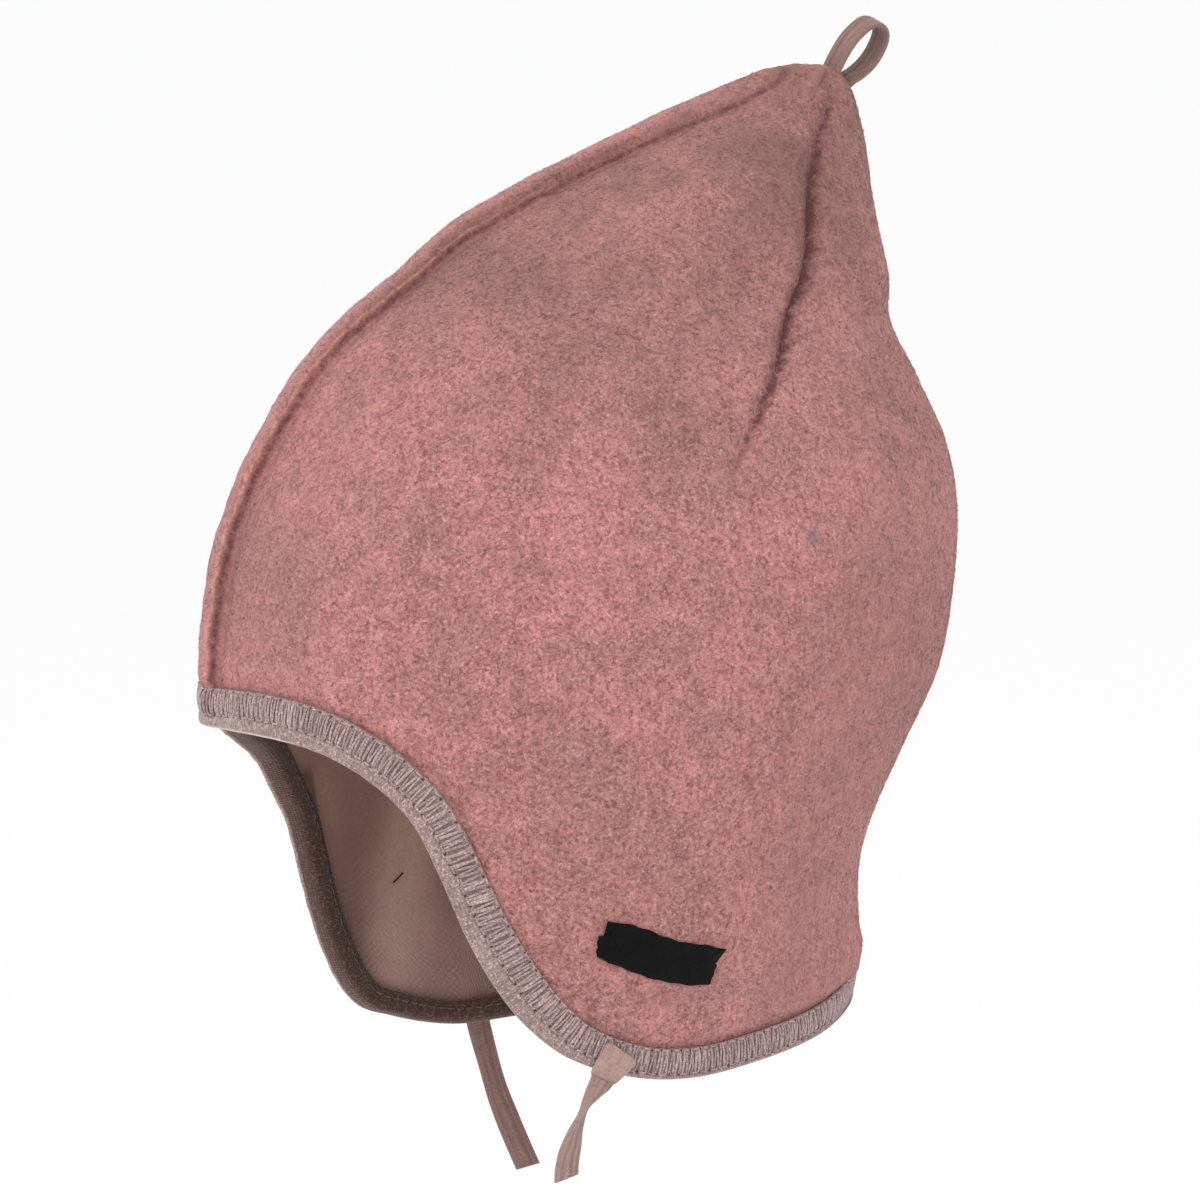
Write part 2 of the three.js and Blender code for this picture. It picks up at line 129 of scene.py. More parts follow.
# The binding's section: each point is cover times the width that the binding covers, plus low
# times the height of its lower needle line, plus rise, up from the edge, and lies inset inside
# the shell's outer face.
BINDING_SECTION = table("cover low rise inset", [
    [1, 0, -0.05, -0.06], [1, 0, 0.0, -0.35], [1, 0, -0.03, -0.8], [1, 0, -0.2, -1.12],
    [1, 0, -0.55, -1.26], [1, 0, -0.85, -1.16], [1, 0, -1.2, -1.3], [0.75, 0.25, -0.6, -1.38],
    [0.5, 0.5, 0.0, -1.4], [0.25, 0.75, 0.4, -1.36], [0, 1, 0.7, -1.3], [0, 1, 0.3, -1.18],
    [0, 1, 0, -1.04], [0, 0.9, -0.16, -1.22], [0, 0.7, -0.38, -1.38], [0, 0.42, -0.6, -1.46],
    [0, 0.15, -0.76, -1.34], [0, 0, -0.92, -1.05], [0, 0, -1.1, -0.66], [0, 0, -1.22, -0.1],
    [0, 0, -1.3, 0.8], [0, 0, -1.32, 1.9], [0, 0, -1.3, 2.9], [0, 0, -1.2, 3.8],
    [0, 0, -0.9, 4.45], [0, 0, -0.4, 4.85], [0, 0, 0.3, 5.02], [0, 0, 1.2, 5.06],
    [0, 0, 1.9, 5.0], [0, 0, 2.2, 4.86], [0, 0, 2.5, 5.0], [0, 0, 3.0, 5.05],
    [0, 0, 3.5, 4.98], [0, 0, 3.9, 4.7], [0, 0, 4.05, 4.2], [0, 0, 3.95, 3.66],
    [0, 0, 2.5, 3.62], [0, 0, 0.2, 3.62], [0, 0, -0.25, 3.5], [0, 0, -0.28, 1.8],
    [0, 0, -0.25, 0.0], [0, 0, 0.1, -0.06], [0.5, 0, 0, -0.06],
])

# The section's point on the lower needle line, the width of the ladder of cover threads, the
# millimetres that one unit of the UV spans round the section, and the size of one rib stitch.
NEEDLE_LINE_INDEX = 12
LADDER_WIDTH = 5.4
BINDING_UV_SPAN = 64
RIB_WIDTH, RIB_STEP = 0.62, 0.8

# Half widths of a cover thread and of a needle stitch, ring after ring, and how thick they are
# for their width.
COVER_THREAD, COVER_FLATNESS = np.array([0.2, 0.3, 0.33, 0.32, 0.28, 0.18]), 0.72
NEEDLE_THREAD, NEEDLE_FLATNESS = np.array([0.12, 0.2, 0.22, 0.22, 0.2, 0.12]), 0.8
STITCH_RINGS = len(COVER_THREAD)
STITCH_SEED, PILE_SEED = 7, 20

# The lint on the lining: where it starts and ends, and its half width and half thickness.
LINT_ENDS = table("angle level", [[-79.6, -131], [-82, -129]])
LINT_HALF_WIDTH, LINT_HALF_THICKNESS = 0.17, 0.12

# Stitches of the lining's net along its UV, and the tapes' stitches and girth.
LINING_COLUMNS, LINING_ROWS = 200, 300
TAPE_STITCH_LENGTH, TAPE_STITCH_WIDTH, TAPE_GIRTH, TAPE_POINTS = 0.9, 0.6, 12, 44
TIE = {"width": 5.6, "thick": 1.1}
LEFT_TIE = table("x y z turn", [
    [59.9, -7.5, -156.9, 0],
    [59.3, -9.3, -159.4, 0],
    [58.7, -11.1, -161.8, 0],
    [58, -12.2, -164.2, -10],
    [56, -13.4, -167.2, -33],
    [54, -14.5, -170.4, -53],
    [51.6, -15.4, -174.6, -36],
    [49, -15.6, -179.4, -12],
    [46.8, -15.4, -183.2, -4],
    [45.4, -15, -185.9, 0],
])
RIGHT_TIE = table("x y z turn", [
    [-59.8, 2.4, -155.6, 0],
    [-59.4, 3.7, -159, 0],
    [-58.8, 4.5, -162, 0],
    [-58.4, 5.1, -165.4, 0],
    [-57.4, 6.6, -172, 5],
    [-55, 8, -179.4, 8],
    [-52.5, 9.8, -186.1, 8],
    [-50, 11.7, -192.3, 8],
    [-48, 12.9, -196.3, 8],
])
LOOP = {"width": 5.4, "thick": 1.2, "foot": np.array([0, 69.05, 53.35])}
LOOP_AXIS = np.array([0.154, 0.536, 0.828]) / np.linalg.norm([0.154, 0.536, 0.828])
LOOP_ACROSS = np.array([-0.44, 0.788, -0.429]) / np.linalg.norm([-0.44, 0.788, -0.429])
LOOP_PATH = table("rise out", [
    [-3.2, -2.3], [0.6, -3.0], [4, -3.6], [7.6, -3.7], [10.8, -2.9], [13.2, -1.6], [14.3, 0.5],
    [14.1, 2.5], [12.9, 4.1], [10.9, 5.1], [8.2, 5.6], [5.4, 5.4], [2.6, 4.4], [0.2, 3.0],
    [-3.2, 1.9],
])
LABEL = {"angle": 93.5, "level": -136, "tilt": np.radians(-15), "length": 29, "height": 9.5,
         "thick": 0.9, "round": 0.45, "low": 0.7, "high": 1.7}
LABEL_STATIONS = table("bottomX bottomY lowX highX topX topY", [
    [-14.2, -3.8, -14.9, -12.2, -13.9, 4.3],
    [-9.2, -4.6, -9.5, -8.9, -9.2, 4.9],
    [-4.6, -5.2, -4.6, -4.4, -4.4, 4.7],
    [0, -5.6, 0, 0.2, 0.4, 4],
    [4.6, -5.4, 4.5, 4.9, 5.3, 3.9],
    [9.2, -5, 9.2, 9.3, 10.4, 4.4],
    [13.6, -3.8, 14.3, 12.4, 16.0, 4.5],
])

# The surface: every cloth piece lies a given inset inside the shell's outer face.


def smooth(rows, key, place, name):
    """A column at any place along a table: the cubic through the rows whose slope at each row
    is that of the line between its two neighbours, held still beyond the ends."""
    x, y = rows[key], rows[name]
    last = len(x) - 1
    below = np.maximum(np.arange(last + 1) - 1, 0)
    above = np.minimum(np.arange(last + 1) + 1, last)
    slope = (y[above] - y[below]) / (x[above] - x[below])
    place = np.asarray(place, dtype=float)
    i = np.clip(np.searchsorted(x, place) - 1, 0, last - 1)
    width = x[i + 1] - x[i]
    t = np.clip((place - x[i]) / width, 0, 1)
    t2, t3 = t * t, t * t * t
    start = (2 * t3 - 3 * t2 + 1) * y[i] + (t3 - 2 * t2 + t) * width * slope[i]
    return start + (3 * t2 - 2 * t3) * y[i + 1] + (t3 - t2) * width * slope[i + 1]


def through(rows, steps):
    """All columns of a table at steps even places from its first row to its last, on the same
    cubics, with the row numbers as the key."""
    count = len(next(iter(rows.values())))
    keyed = dict(rows, row=np.arange(count, dtype=float))
    places = np.linspace(0, count - 1, steps)
    return {name: smooth(keyed, "row", places, name) for name in rows}


def section(level, name):
    return smooth(SECTIONS, "level", level, name)


def lerp(a, b, share):
    return a + (b - a) * share


def ease(low, high, value):
    """0 below low, 1 above high, and a smooth step between them."""
    t = np.clip((value - low) / (high - low), 0, 1)
    return t * t * (3 - 2 * t)


def hill(value, middle, width):
    """A bell of height 1 round the middle."""
    return np.exp(-(((value - middle) / width) ** 2))


def wrap(angle):
    """An angle brought between -pi and pi: 0 is the front, positive the wearer's left."""
    return (np.asarray(angle) + np.pi) % (2 * np.pi) - np.pi


def side_degrees(angle):
    """Degrees round from the front, the same on both sides."""
    return np.degrees(np.abs(wrap(angle)))


def run_of(points):
    """How far along a line of points each one is."""
    return np.append(0, np.linalg.norm(np.diff(points, axis=0), axis=1).cumsum())


def middle_point(end, level, inset):
    """Where a section crosses the middle plane in front or behind, moved inwards by inset at
    right angles to that profile."""
    y, z = section(level, end + "Y"), section(level, end + "Z")
    dy = section(level + 0.5, end + "Y") - section(level - 0.5, end + "Y")
    dz = section(level + 0.5, end + "Z") - section(level - 0.5, end + "Z")
    turn = (inset if end == "front" else -inset) / np.hypot(dy, dz)
    return y + dz * turn, z - dy * turn


def shell_point(angle, level, inset=0.0):
    """A point of the shell: y and z go from the front profile to the back one as (1 - cos) / 2
    of the angle, and x is the half width times |sin| of the angle to the power of the taper."""
    turned = wrap(angle)
    front_y, front_z = middle_point("front", level, inset)
    back_y, back_z = middle_point("back", level, inset)
    share = (1 - np.cos(turned)) / 2
    taper = lerp(section(level, "frontTaper"), section(level, "backTaper"), share)
    reach = (section(level, "halfWidth") - inset) * np.abs(np.sin(turned)) ** taper
    x = np.sign(turned) * reach
    y, z = lerp(front_y, back_y, share), lerp(front_z, back_z, share)
    return np.stack(np.broadcast_arrays(x, y, z), axis=-1)


def edge_value(angle, name):
    return smooth(EDGE, "angle", side_degrees(angle), name)


def edge_level(angle):
    """The level of the cloth's edge at an angle, from the left or the right column."""
    left, right = edge_value(angle, "left"), edge_value(angle, "right")
    return np.where(wrap(angle) >= 0, left, right)


def near_edge(angle, distance, inset):
    """A point near the cloth's edge: distance up from it at right angles to it, across the
    cloth. The step in angle and level comes from the surface's two slopes."""
    step = 0.01
    level = edge_level(angle)
    across = (shell_point(angle + step, level) - shell_point(angle - step, level)) / (2 * step)
    up = (shell_point(angle, level + 1) - shell_point(angle, level - 1)) / 2
    slope = (edge_level(angle + step) - edge_level(angle - step)) / (2 * step)
    along = across + up * slope[..., None]
    along /= np.linalg.norm(along, axis=-1, keepdims=True)
    away = up - along * (up * along).sum(-1, keepdims=True)
    away /= np.linalg.norm(away, axis=-1, keepdims=True)
    aa, uu, au = (across**2).sum(-1), (up**2).sum(-1), (across * up).sum(-1)
    wa, wu = (away * across).sum(-1), (away * up).sum(-1)
    turn = (wa * uu - wu * au) / (aa * uu - au * au)
    rise = (wu * aa - wa * au) / (aa * uu - au * au)
    return shell_point(angle + turn * distance, level + rise * distance, inset)


def dart_angle(level):
    return np.radians(smooth(DART, "level", level, "angle"))


def half_length(level):
    return (section(level, "backY") - section(level, "frontY")) / 2


def angle_across(level, across):
    """The angle at which a section is across millimetres from the middle plane in front."""
    share = np.clip(np.abs(across) / section(level, "halfWidth"), 0, 0.95)
    return np.sign(across) * np.arcsin(share ** (1 / section(level, "frontTaper")))


def dart_distance(angle, level):
    return np.abs(np.abs(wrap(angle)) - dart_angle(level)) * half_length(level)


def even_shares(start, end, count):
    """Shares of the way between two angles that stand evenly along the cloth's edge."""
    angles = np.linspace(start, end, 1500)
    run = run_of(shell_point(angles, edge_level(angles)))
    wanted = np.arange(count) / count * run[-1]
    return (np.interp(wanted, run, angles) - start) / (end - start)


class Columns:
    """The columns of a cup of cloth right round the head. They follow the welt's foot in front
    and the dart at the side, so the creases fall on them."""

    def __init__(self, foot, before, dart, after):
        lowest = dart_angle(DART["level"][0])
        shares = [np.arange(foot) / foot, even_shares(0.1, lowest, before),
                  np.arange(dart) / dart, even_shares(lowest, np.pi, after)]
        segment = np.concatenate([np.full(len(s), k) for k, s in enumerate(shares)] + [[3]])
        share = np.concatenate(shares + [[1.0]])
        self.segment = np.concatenate([segment, segment[1:-1][::-1]])
        self.share = np.concatenate([share, share[1:-1][::-1]])
        self.side = np.concatenate([np.ones(len(share)), -np.ones(len(share) - 2)])

    def angles(self, level):
        """The angle of each column at its own level. The last axis runs over the columns."""
        foot = angle_across(level, WELT["half_width"] + 0.8)
        dart = dart_angle(level)
        beside = np.minimum(DART_HALF_WIDTH / half_length(level), 0.5)
        starts = [0 * foot, foot, dart - beside, dart + beside]
        ends = [foot, dart - beside, dart + beside, 0 * foot + np.pi]
        segment = np.broadcast_to(self.segment, foot.shape)
        turned = np.choose(segment, [lerp(a, b, self.share) for a, b in zip(starts, ends)])
        return self.side * turned

    def grid(self, top, rows):
        """Angles and levels of rows from the edge up to a top level, closer there."""
        bottom = edge_level(self.angles(np.full(len(self.share), DART["level"][0])))
        for _ in range(14):
            bottom = edge_level(self.angles(bottom))
        share = 1 - (1 - np.linspace(0, 1, rows)) ** 1.2
        level = lerp(bottom[None, :], top, share[:, None])
        return self.angles(level), level


def above_edge(angle, level):
    """Roughly how far up from the cloth's edge a point is, measured square to the edge."""
    step = 0.02
    rise = level - edge_level(angle)
    slope = (edge_level(angle + step) - edge_level(angle - step)) / (2 * step)
    return rise / np.hypot(1, slope / np.maximum(half_length(level), 30))


def swell(points, size):
    """A gentle unevenness between about -1 and 1: sines along fixed slanted directions."""
    x, y, z = np.moveaxis(points / size, -1, 0)
    first = np.sin(2.1 * x + 1.3 * y - 0.7 * z + 0.4) + np.sin(-1.1 * x + 2.4 * z + 1.9)
    second = np.sin(1.7 * y + 1.9 * z + 4.0) + np.sin(0.9 * x - 2.2 * y + 1.2 * z + 2.6)
    return (first + second) / 3.2


# Meshes.

NO_QUADS = np.zeros((0, 4), dtype=int)
THREAD_SIDES = 6


def write_mesh(name, vertices, quads, triangles, material, uv=None, masks=None):
    """One mesh object from arrays, in millimetres. uv is one pair a face corner, quads first,
    and masks are named numbers, one a vertex."""
    corners = np.concatenate([quads.ravel(), triangles.ravel()]).astype(np.int32)
    starts = np.concatenate([
        np.arange(len(quads)) * 4, len(quads) * 4 + np.arange(len(triangles)) * 3,
    ]).astype(np.int32)
    mesh = bpy.data.meshes.new(name)
    mesh.vertices.add(len(vertices))
    mesh.vertices.foreach_set("co", (vertices * MM).astype(np.float32).ravel())
    mesh.loops.add(len(corners))
    mesh.loops.foreach_set("vertex_index", corners)
    mesh.polygons.add(len(starts))
    mesh.polygons.foreach_set("loop_start", starts)
    mesh.update(calc_edges=True)
    mesh.polygons.foreach_set("use_smooth", np.ones(len(starts), dtype=bool))
    if uv is not None:
        layer = mesh.uv_layers.new(name="Cloth")
        layer.data.foreach_set("uv", uv.astype(np.float32).ravel())
    for key, values in (masks or {}).items():
        attribute = mesh.attributes.new(key, "FLOAT", "POINT")
        attribute.data.foreach_set("value", np.asarray(values, dtype=np.float32).ravel())
    if mesh.validate(verbose=False):
        raise RuntimeError(f"{name}: the mesh had faults")
    mesh.materials.append(material)
    piece = bpy.data.objects.new(name, mesh)
    bpy.context.scene.collection.objects.link(piece)
    return piece


def band(rings, points, strips):
    """Quads round a chain of rings, whose points are numbered ring after ring."""
    i, j = np.meshgrid(np.arange(strips), np.arange(points), indexing="ij")
    i2, j2 = (i + 1) % rings, (j + 1) % points
    quads = np.stack([i * points + j, i * points + j2, i2 * points + j2, i2 * points + j], -1)
    return quads.reshape(-1, 4)


def inside_out(vertices, quads, triangles):
    """Whether the faces of a closed solid look inwards: its signed volume is below 0."""
    faces = np.concatenate([quads[:, :3], quads[:, [0, 2, 3]], triangles])
    a, b, c = np.moveaxis(vertices[faces] - vertices[faces[0, 0]], 1, 0)
    return (a * np.cross(b, c)).sum() < 0


def skin(name, rings, material, masks, closed=False, around=None):
    """A closed solid over rings of points, each ring itself closed. Open chains get a fan to
    the middle of their first and last rings. The UV's x is the share of the way along the
    chain and its y is around, which has one value more than a ring has points. A mask has a
    value for each point, or fewer that spread over rings or points."""
    n, m, _ = rings.shape
    strips = n if closed else n - 1
    quads = band(n, m, strips)
    vertices = rings.reshape(-1, 3)
    if around is None:
        around = np.linspace(0, 1, m + 1)
    along = np.linspace(0, 1, strips + 1)[:, None]
    flat = np.stack(np.broadcast_arrays(along, around), -1)
    uv = np.stack([flat[:-1, :-1], flat[:-1, 1:], flat[1:, 1:], flat[1:, :-1]], 2)
    uv = uv.reshape(-1, 4, 2)
    triangles, uv_caps = np.zeros((0, 3), dtype=int), np.zeros((0, 3, 2))
    middles = []
    if not closed:
        a = np.arange(m)
        for ring, flip in ((0, True), (n - 1, False)):
            fan = np.stack([np.full(m, len(vertices) + len(middles)), ring * m + a,
                            ring * m + (a + 1) % m], -1)
            middles.append(rings[ring].mean(0))
            hub = np.broadcast_to(flat[ring].mean(0), (m, 2))
            marks = np.stack([hub, flat[ring, a], flat[ring, a + 1]], 1)
            if flip:
                fan, marks = fan[:, ::-1], marks[:, ::-1]
            triangles = np.concatenate([triangles, fan])
            uv_caps = np.concatenate([uv_caps, marks])
        vertices = np.concatenate([vertices, middles])
    if inside_out(vertices, quads, triangles):
        quads, triangles = quads[:, ::-1], triangles[:, ::-1]
        uv, uv_caps = uv[:, ::-1], uv_caps[:, ::-1]
    masks = {key: np.broadcast_to(values, (n, m)).ravel() for key, values in masks.items()}
    masks = {key: np.append(values, np.full(len(middles), values.mean()))
             for key, values in masks.items()}
    uv = np.concatenate([uv.reshape(-1, 2), uv_caps.reshape(-1, 2)])
    return write_mesh(name, vertices, quads, triangles, material, uv, masks)


def unit(vectors):
    return vectors / np.maximum(np.linalg.norm(vectors, axis=-1, keepdims=True), 1e-9)


def sew(name, slot, material, path, above, wide, high, tones=None):
    """A piece of many short closed threads. path holds the middle of each thread's rings and
    above the same places off the cloth. Each ring is an ellipse of half axes wide and high,
    round the path, and each end closes in a tip a little further on."""
    count, n, _ = path.shape
    run = unit(np.gradient(path, axis=1))
    side = unit(np.cross(run, above - path))
    over = np.cross(side, run)
    turn = np.arange(THREAD_SIDES) / THREAD_SIDES * 2 * np.pi
    swing = side[:, :, None] * np.cos(turn)[:, None] * wide[..., None, None]
    lift = over[:, :, None] * np.sin(turn)[:, None] * high[..., None, None]
    rings = path[:, :, None] + swing + lift
    reach = np.broadcast_to(high, (count, n))
    first = path[:, 0] - run[:, 0] * reach[:, :1] * 1.2
    last = path[:, -1] + run[:, -1] * reach[:, -1:] * 1.2
    vertices = np.concatenate([rings.reshape(count, -1, 3), first[:, None], last[:, None]], 1)
    size = n * THREAD_SIDES + 2
    quads = band(n, THREAD_SIDES, n - 1)
    a = np.arange(THREAD_SIDES)
    b = (a + 1) % THREAD_SIDES
    end = (n - 1) * THREAD_SIDES
    triangles = np.concatenate([np.stack([0 * a + size - 2, b, a], -1),
                                np.stack([0 * a + size - 1, end + a, end + b], -1)])
    if inside_out(vertices[0], quads, triangles):
        quads, triangles = quads[:, ::-1], triangles[:, ::-1]
    quads, triangles = ((faces + (np.arange(count) * size)[:, None, None]).reshape(
        -1, faces.shape[1]) for faces in (quads, triangles))
    masks = None if tones is None else {"tone": np.repeat(tones, size)}
    piece = write_mesh(name, vertices.reshape(-1, 3), quads, triangles, material, masks=masks)
    put(piece, slot)


def put(piece, slot, *nodes):
    """Rides a piece on the bonnet and hides the solids it stands for. Its slot is not used."""
    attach(piece, "root")
    if nodes:
        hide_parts(*nodes)


# Materials.

# Screen colours, of 0 to 255, for details that have no setting of their own.
GREYED_WOOL, CREST_MAUVE, CREST_WARM = (158, 110, 106), (184, 138, 140), (208, 134, 112)
# The welt's edge colour is a painted highlight.
WELT_EDGE_HIGHLIGHT, SMUDGE = (220, 158, 136), (112, 110, 124)
# The lining's upper, foot and fold colours are painted light, a painted shadow, and painted shade
# and highlights on its folds.
LINING_MAUVE, LINING_UPPER_LIGHT, LINING_FOOT_SHADOW = (134, 104, 104), (206, 164, 146), (56, 38, 35)
FOLD_SHADE, FOLD_HIGHLIGHT, LINT = (88, 62, 64), (188, 158, 142), (44, 30, 27)
ROSY_YARN, DARK_YARN, LIGHT_YARN = (158, 112, 108), (100, 76, 76), (214, 194, 192)
# The binding's rib-gap and needle-hole colours are painted shade, and its rim colour a painted
# shadow.
RIB_GAP_SHADE, NEEDLE_HOLE_SHADE, BINDING_RIM_SHADOW = (92, 72, 70), (48, 38, 38), (96, 66, 64)
LEAF_TOP, LEAF_LIGHT = (112, 86, 80), (132, 96, 84)
# The leaf's foot colour is a painted shadow.
LEAF_RED, LEAF_FOOT_SHADOW, CREAM = (64, 32, 30), (40, 24, 22), (232, 222, 196)
INNER_THREAD, INNER_THREAD_DARK = (104, 82, 76), (70, 52, 47)
# The label's pale rim colour lightens it near its rims.
# The tape's crease colour is painted shade.
TAPE_CREASE_SHADE, LABEL_HAZE, LABEL_PALE_RIM = (66, 49, 45), (16, 15, 15), (32, 29, 28)
FLOOR_WHITE = (0.94, 0.94, 0.94, 1)

FLOAT, COLOUR, VECTOR = "NodeSocketFloat", "NodeSocketColor", "NodeSocketVector"


def linear(colour):
    """A screen colour of 0 to 255 as the linear colour that a shader takes. A socket stays."""
    if isinstance(colour, bpy.types.NodeSocket):
        return colour
    share = np.array(colour[:3], dtype=float) / 255
    low, high = share / 12.92, ((share + 0.055) / 1.055) ** 2.4
    return (*np.where(share <= 0.04045, low, high).tolist(), 1.0)


class Graph:
    """A node tree under construction, and the material and shader that it belongs to."""

    def __init__(self, tree, material=None, shader=None):
        self.tree, self.material, self.shader = tree, material, shader

    def add(self, kind, inputs=None, **settings):
        """A node with its settings, its sockets joined to sockets or set to values."""
        node = self.tree.nodes.new(kind)
        for key, value in settings.items():
            setattr(node, key, value)
        for key, value in (inputs or {}).items():
            if isinstance(value, bpy.types.NodeSocket):
                self.tree.links.new(value, node.inputs[key])
            else:
                node.inputs[key].default_value = value
        return node

    def group(self, tree, inputs):
        return self.add("ShaderNodeGroup", inputs, node_tree=tree).outputs

    def place(self):
        return self.add("ShaderNodeTexCoord").outputs["Object"]

    def attribute(self, name):
        return self.add("ShaderNodeAttribute", attribute_name=name).outputs["Fac"]

    def scaled(self, vector, x, y, z):
        return self.add("ShaderNodeMapping", {"Vector": vector, "Scale": (x, y, z)}).outputs[0]

    def cloth(self, x, y):
        """The piece's own UV map, scaled to count something along it and across it."""
        return self.scaled(self.add("ShaderNodeUVMap", uv_map="Cloth").outputs["UV"], x, y, 1)

    def split(self, vector):
        return self.add("ShaderNodeSeparateXYZ", {"Vector": vector}).outputs

    def noise(self, vector, scale, detail, roughness, warp=0.0):
        return self.add("ShaderNodeTexNoise", {
            "Vector": vector, "Scale": scale, "Detail": detail, "Roughness": roughness,
            "Distortion": warp}).outputs["Fac"]

    def span(self, value, low, high, to_low=0.0, to_high=1.0):
        """A value mapped from one range to another, held at its ends."""
        return self.add("ShaderNodeMapRange", {
            "Value": value, "From Min": low, "From Max": high,
            "To Min": to_low, "To Max": to_high}).outputs["Result"]

    def patches(self, vector, scale, detail, roughness, low, high, warp=0.0):
        """A mask of noise: 0 where it is at low, 1 where it is at high."""
        return self.span(self.noise(vector, scale, detail, roughness, warp), low, high)

    def math(self, operation, a, b=0.0, clamp=False):
        node = self.add("ShaderNodeMath", {0: a, 1: b}, operation=operation, use_clamp=clamp)
        return node.outputs[0]

    def times(self, a, b):
        return self.math("MULTIPLY", a, b)

    def off(self, value, middle):
        """How far a value is from a middle one, either way."""
        return self.math("ABSOLUTE", self.math("SUBTRACT", value, middle))

    def total(self, *parts):
        """Values times their weights, added up."""
        height = 0.0
        for value, weight in parts:
            height = self.math("ADD", height, self.times(value, weight))
        return height

    def layers(self, colour, *rows):
        """A colour under others. Each row is a mask, the share of it that counts, a colour."""
        colour = linear(colour)
        for mask, share, over in rows:
            colour = self.add(
                "ShaderNodeMix", {0: self.times(mask, share), 6: colour, 7: linear(over)},
                data_type="RGBA").outputs[2]
        return colour

    def join(self, socket, node, key):
        self.tree.links.new(socket, node.inputs[key])

    def finish(self, colour, height, distance, strength):
        """Joins a colour and a bump of the given depth in metres to the shader."""
        self.join(colour, self.shader, "Base Color")
        bump = self.add("ShaderNodeBump", {
            "Height": height, "Distance": distance, "Strength": strength})
        self.join(bump.outputs["Normal"], self.shader, "Normal")
        return self.material


def new_group(name, inputs, outputs):
    """A shader node group with named sockets. Gives its graph, its inputs and output node."""
    tree = bpy.data.node_groups.new(name, "ShaderNodeTree")
    for labels, way in ((inputs, "INPUT"), (outputs, "OUTPUT")):
        for label, kind in labels.items():
            tree.interface.new_socket(label, in_out=way, socket_type=kind)
    return Graph(tree), tree.nodes.new("NodeGroupInput").outputs, tree.nodes.new("NodeGroupOutput")


def wool_group():
    """Melange wool: clouds of a few centimetres, blotches of a few millimetres in a second
    tint, dark and light flecks of a millimetre, and fine crossing fibres from the thin lines
    where a warped noise passes its middle."""
    name = "Melange Wool"
    if name in bpy.data.node_groups:
        return bpy.data.node_groups[name]
    graph, given, out = new_group(name, {
        "Vector": VECTOR, "Base": COLOUR, "Dark Hair": COLOUR, "Light Hair": COLOUR,
        "Cloud": COLOUR, "Tint": COLOUR, "Contrast": FLOAT}, {"Color": COLOUR, "Height": FLOAT})
    place = given["Vector"]
    cloud = graph.patches(place, 30, 4, 0.6, 0.44, 0.64)
    tint = graph.patches(graph.scaled(place, 1.2, 1, 0.9), 72, 4, 0.62, 0.47, 0.64)
    blotch = graph.patches(place, 260, 4, 0.66, 0.4, 0.66)
    dark = graph.patches(place, 980, 4, 0.7, 0.48, 0.66, warp=0.15)
    light = graph.patches(graph.scaled(place, 1, 1, 1.3), 1150, 4, 0.68, 0.5, 0.7, warp=0.2)
    first = graph.noise(place, 720, 3, 0.6, 1.8)
    second = graph.noise(graph.scaled(place, 1.3, 0.8, 1.0), 860, 3, 0.6, 1.6)
    fibre, thin = (graph.span(graph.off(warped, middle), 0.0, 0.03, 1.0, 0.0)
                   for warped, middle in ((first, 0.5), (second, 0.47)))
    colour = graph.layers(given["Base"], (cloud, 0.85, given["Cloud"]),
                          (tint, 0.6, given["Tint"]))
    for mask, share, hair in ((blotch, 0.42, "Dark Hair"), (dark, 0.72, "Dark Hair"),
                              (light, 0.66, "Light Hair"), (fibre, 0.3, "Light Hair"),
                              (thin, 0.12, "Dark Hair")):
        colour = graph.layers(colour, (graph.times(mask, given["Contrast"]), share, given[hair]))
    height = graph.total((blotch, -0.5), (dark, -0.6), (fibre, 0.5), (light, 0.35))
    graph.join(colour, out, "Color")
    graph.join(height, out, "Height")
    return graph.tree


def knit_group():
    """Jersey: columns of V stitches. Vector counts stitches: x is the column, y the row. Each
    column is a rounded rib, and its rows slant up to the rib's middle from both sides."""
    name = "Jersey Knit"
    if name in bpy.data.node_groups:
        return bpy.data.node_groups[name]
    graph, given, out = new_group(name, {"Vector": VECTOR}, {"Height": FLOAT, "Gap": FLOAT})
    count = graph.split(given["Vector"])
    across = graph.off(graph.math("FRACT", count["X"]), 0.5)
    rib = graph.math("POWER", graph.span(across, 0.0, 0.5, 1.0, 0.0), 0.5)
    row = graph.math("ADD", count["Y"], across)
    wave = graph.span(graph.math("SINE", graph.times(row, 2 * np.pi)), -1.0, 1.0)
    height = graph.times(rib, graph.math("ADD", graph.times(wave, 0.6), 0.4))
    graph.join(height, out, "Height")
    # Gap marks the low ground between the ribs, where the materials paint shade.
    graph.join(graph.span(height, 0.0, 0.35, 1.0, 0.0), out, "Gap")
    return graph.tree


def new_material(name, roughness, sheen=0.0, sheen_tint=(1, 1, 1, 1), specular=0.3):
    """The graph of a material, whose constants stand on its Principled shader's own sockets."""
    material = bpy.data.materials.new(name)
    material.use_nodes = True
    shader = material.node_tree.nodes["Principled BSDF"]
    for key, value in (("Roughness", roughness), ("Specular IOR Level", specular),
                       ("Sheen Weight", sheen), ("Sheen Roughness", 0.5),
                       ("Sheen Tint", sheen_tint)):
        shader.inputs[key].default_value = value
    return Graph(material.node_tree, material, shader)


def plain_material(name, colour, roughness, specular=0.3):
    """A material of one linear colour."""
    graph = new_material(name, roughness, specular=specular)
    graph.shader.inputs["Base Color"].default_value = colour
    return graph.material


# The middle of the smudge on the shell's left side, in metres.
SMUDGE_PLACE = tuple(MM * shell_point(np.radians(109.0), -46.0))


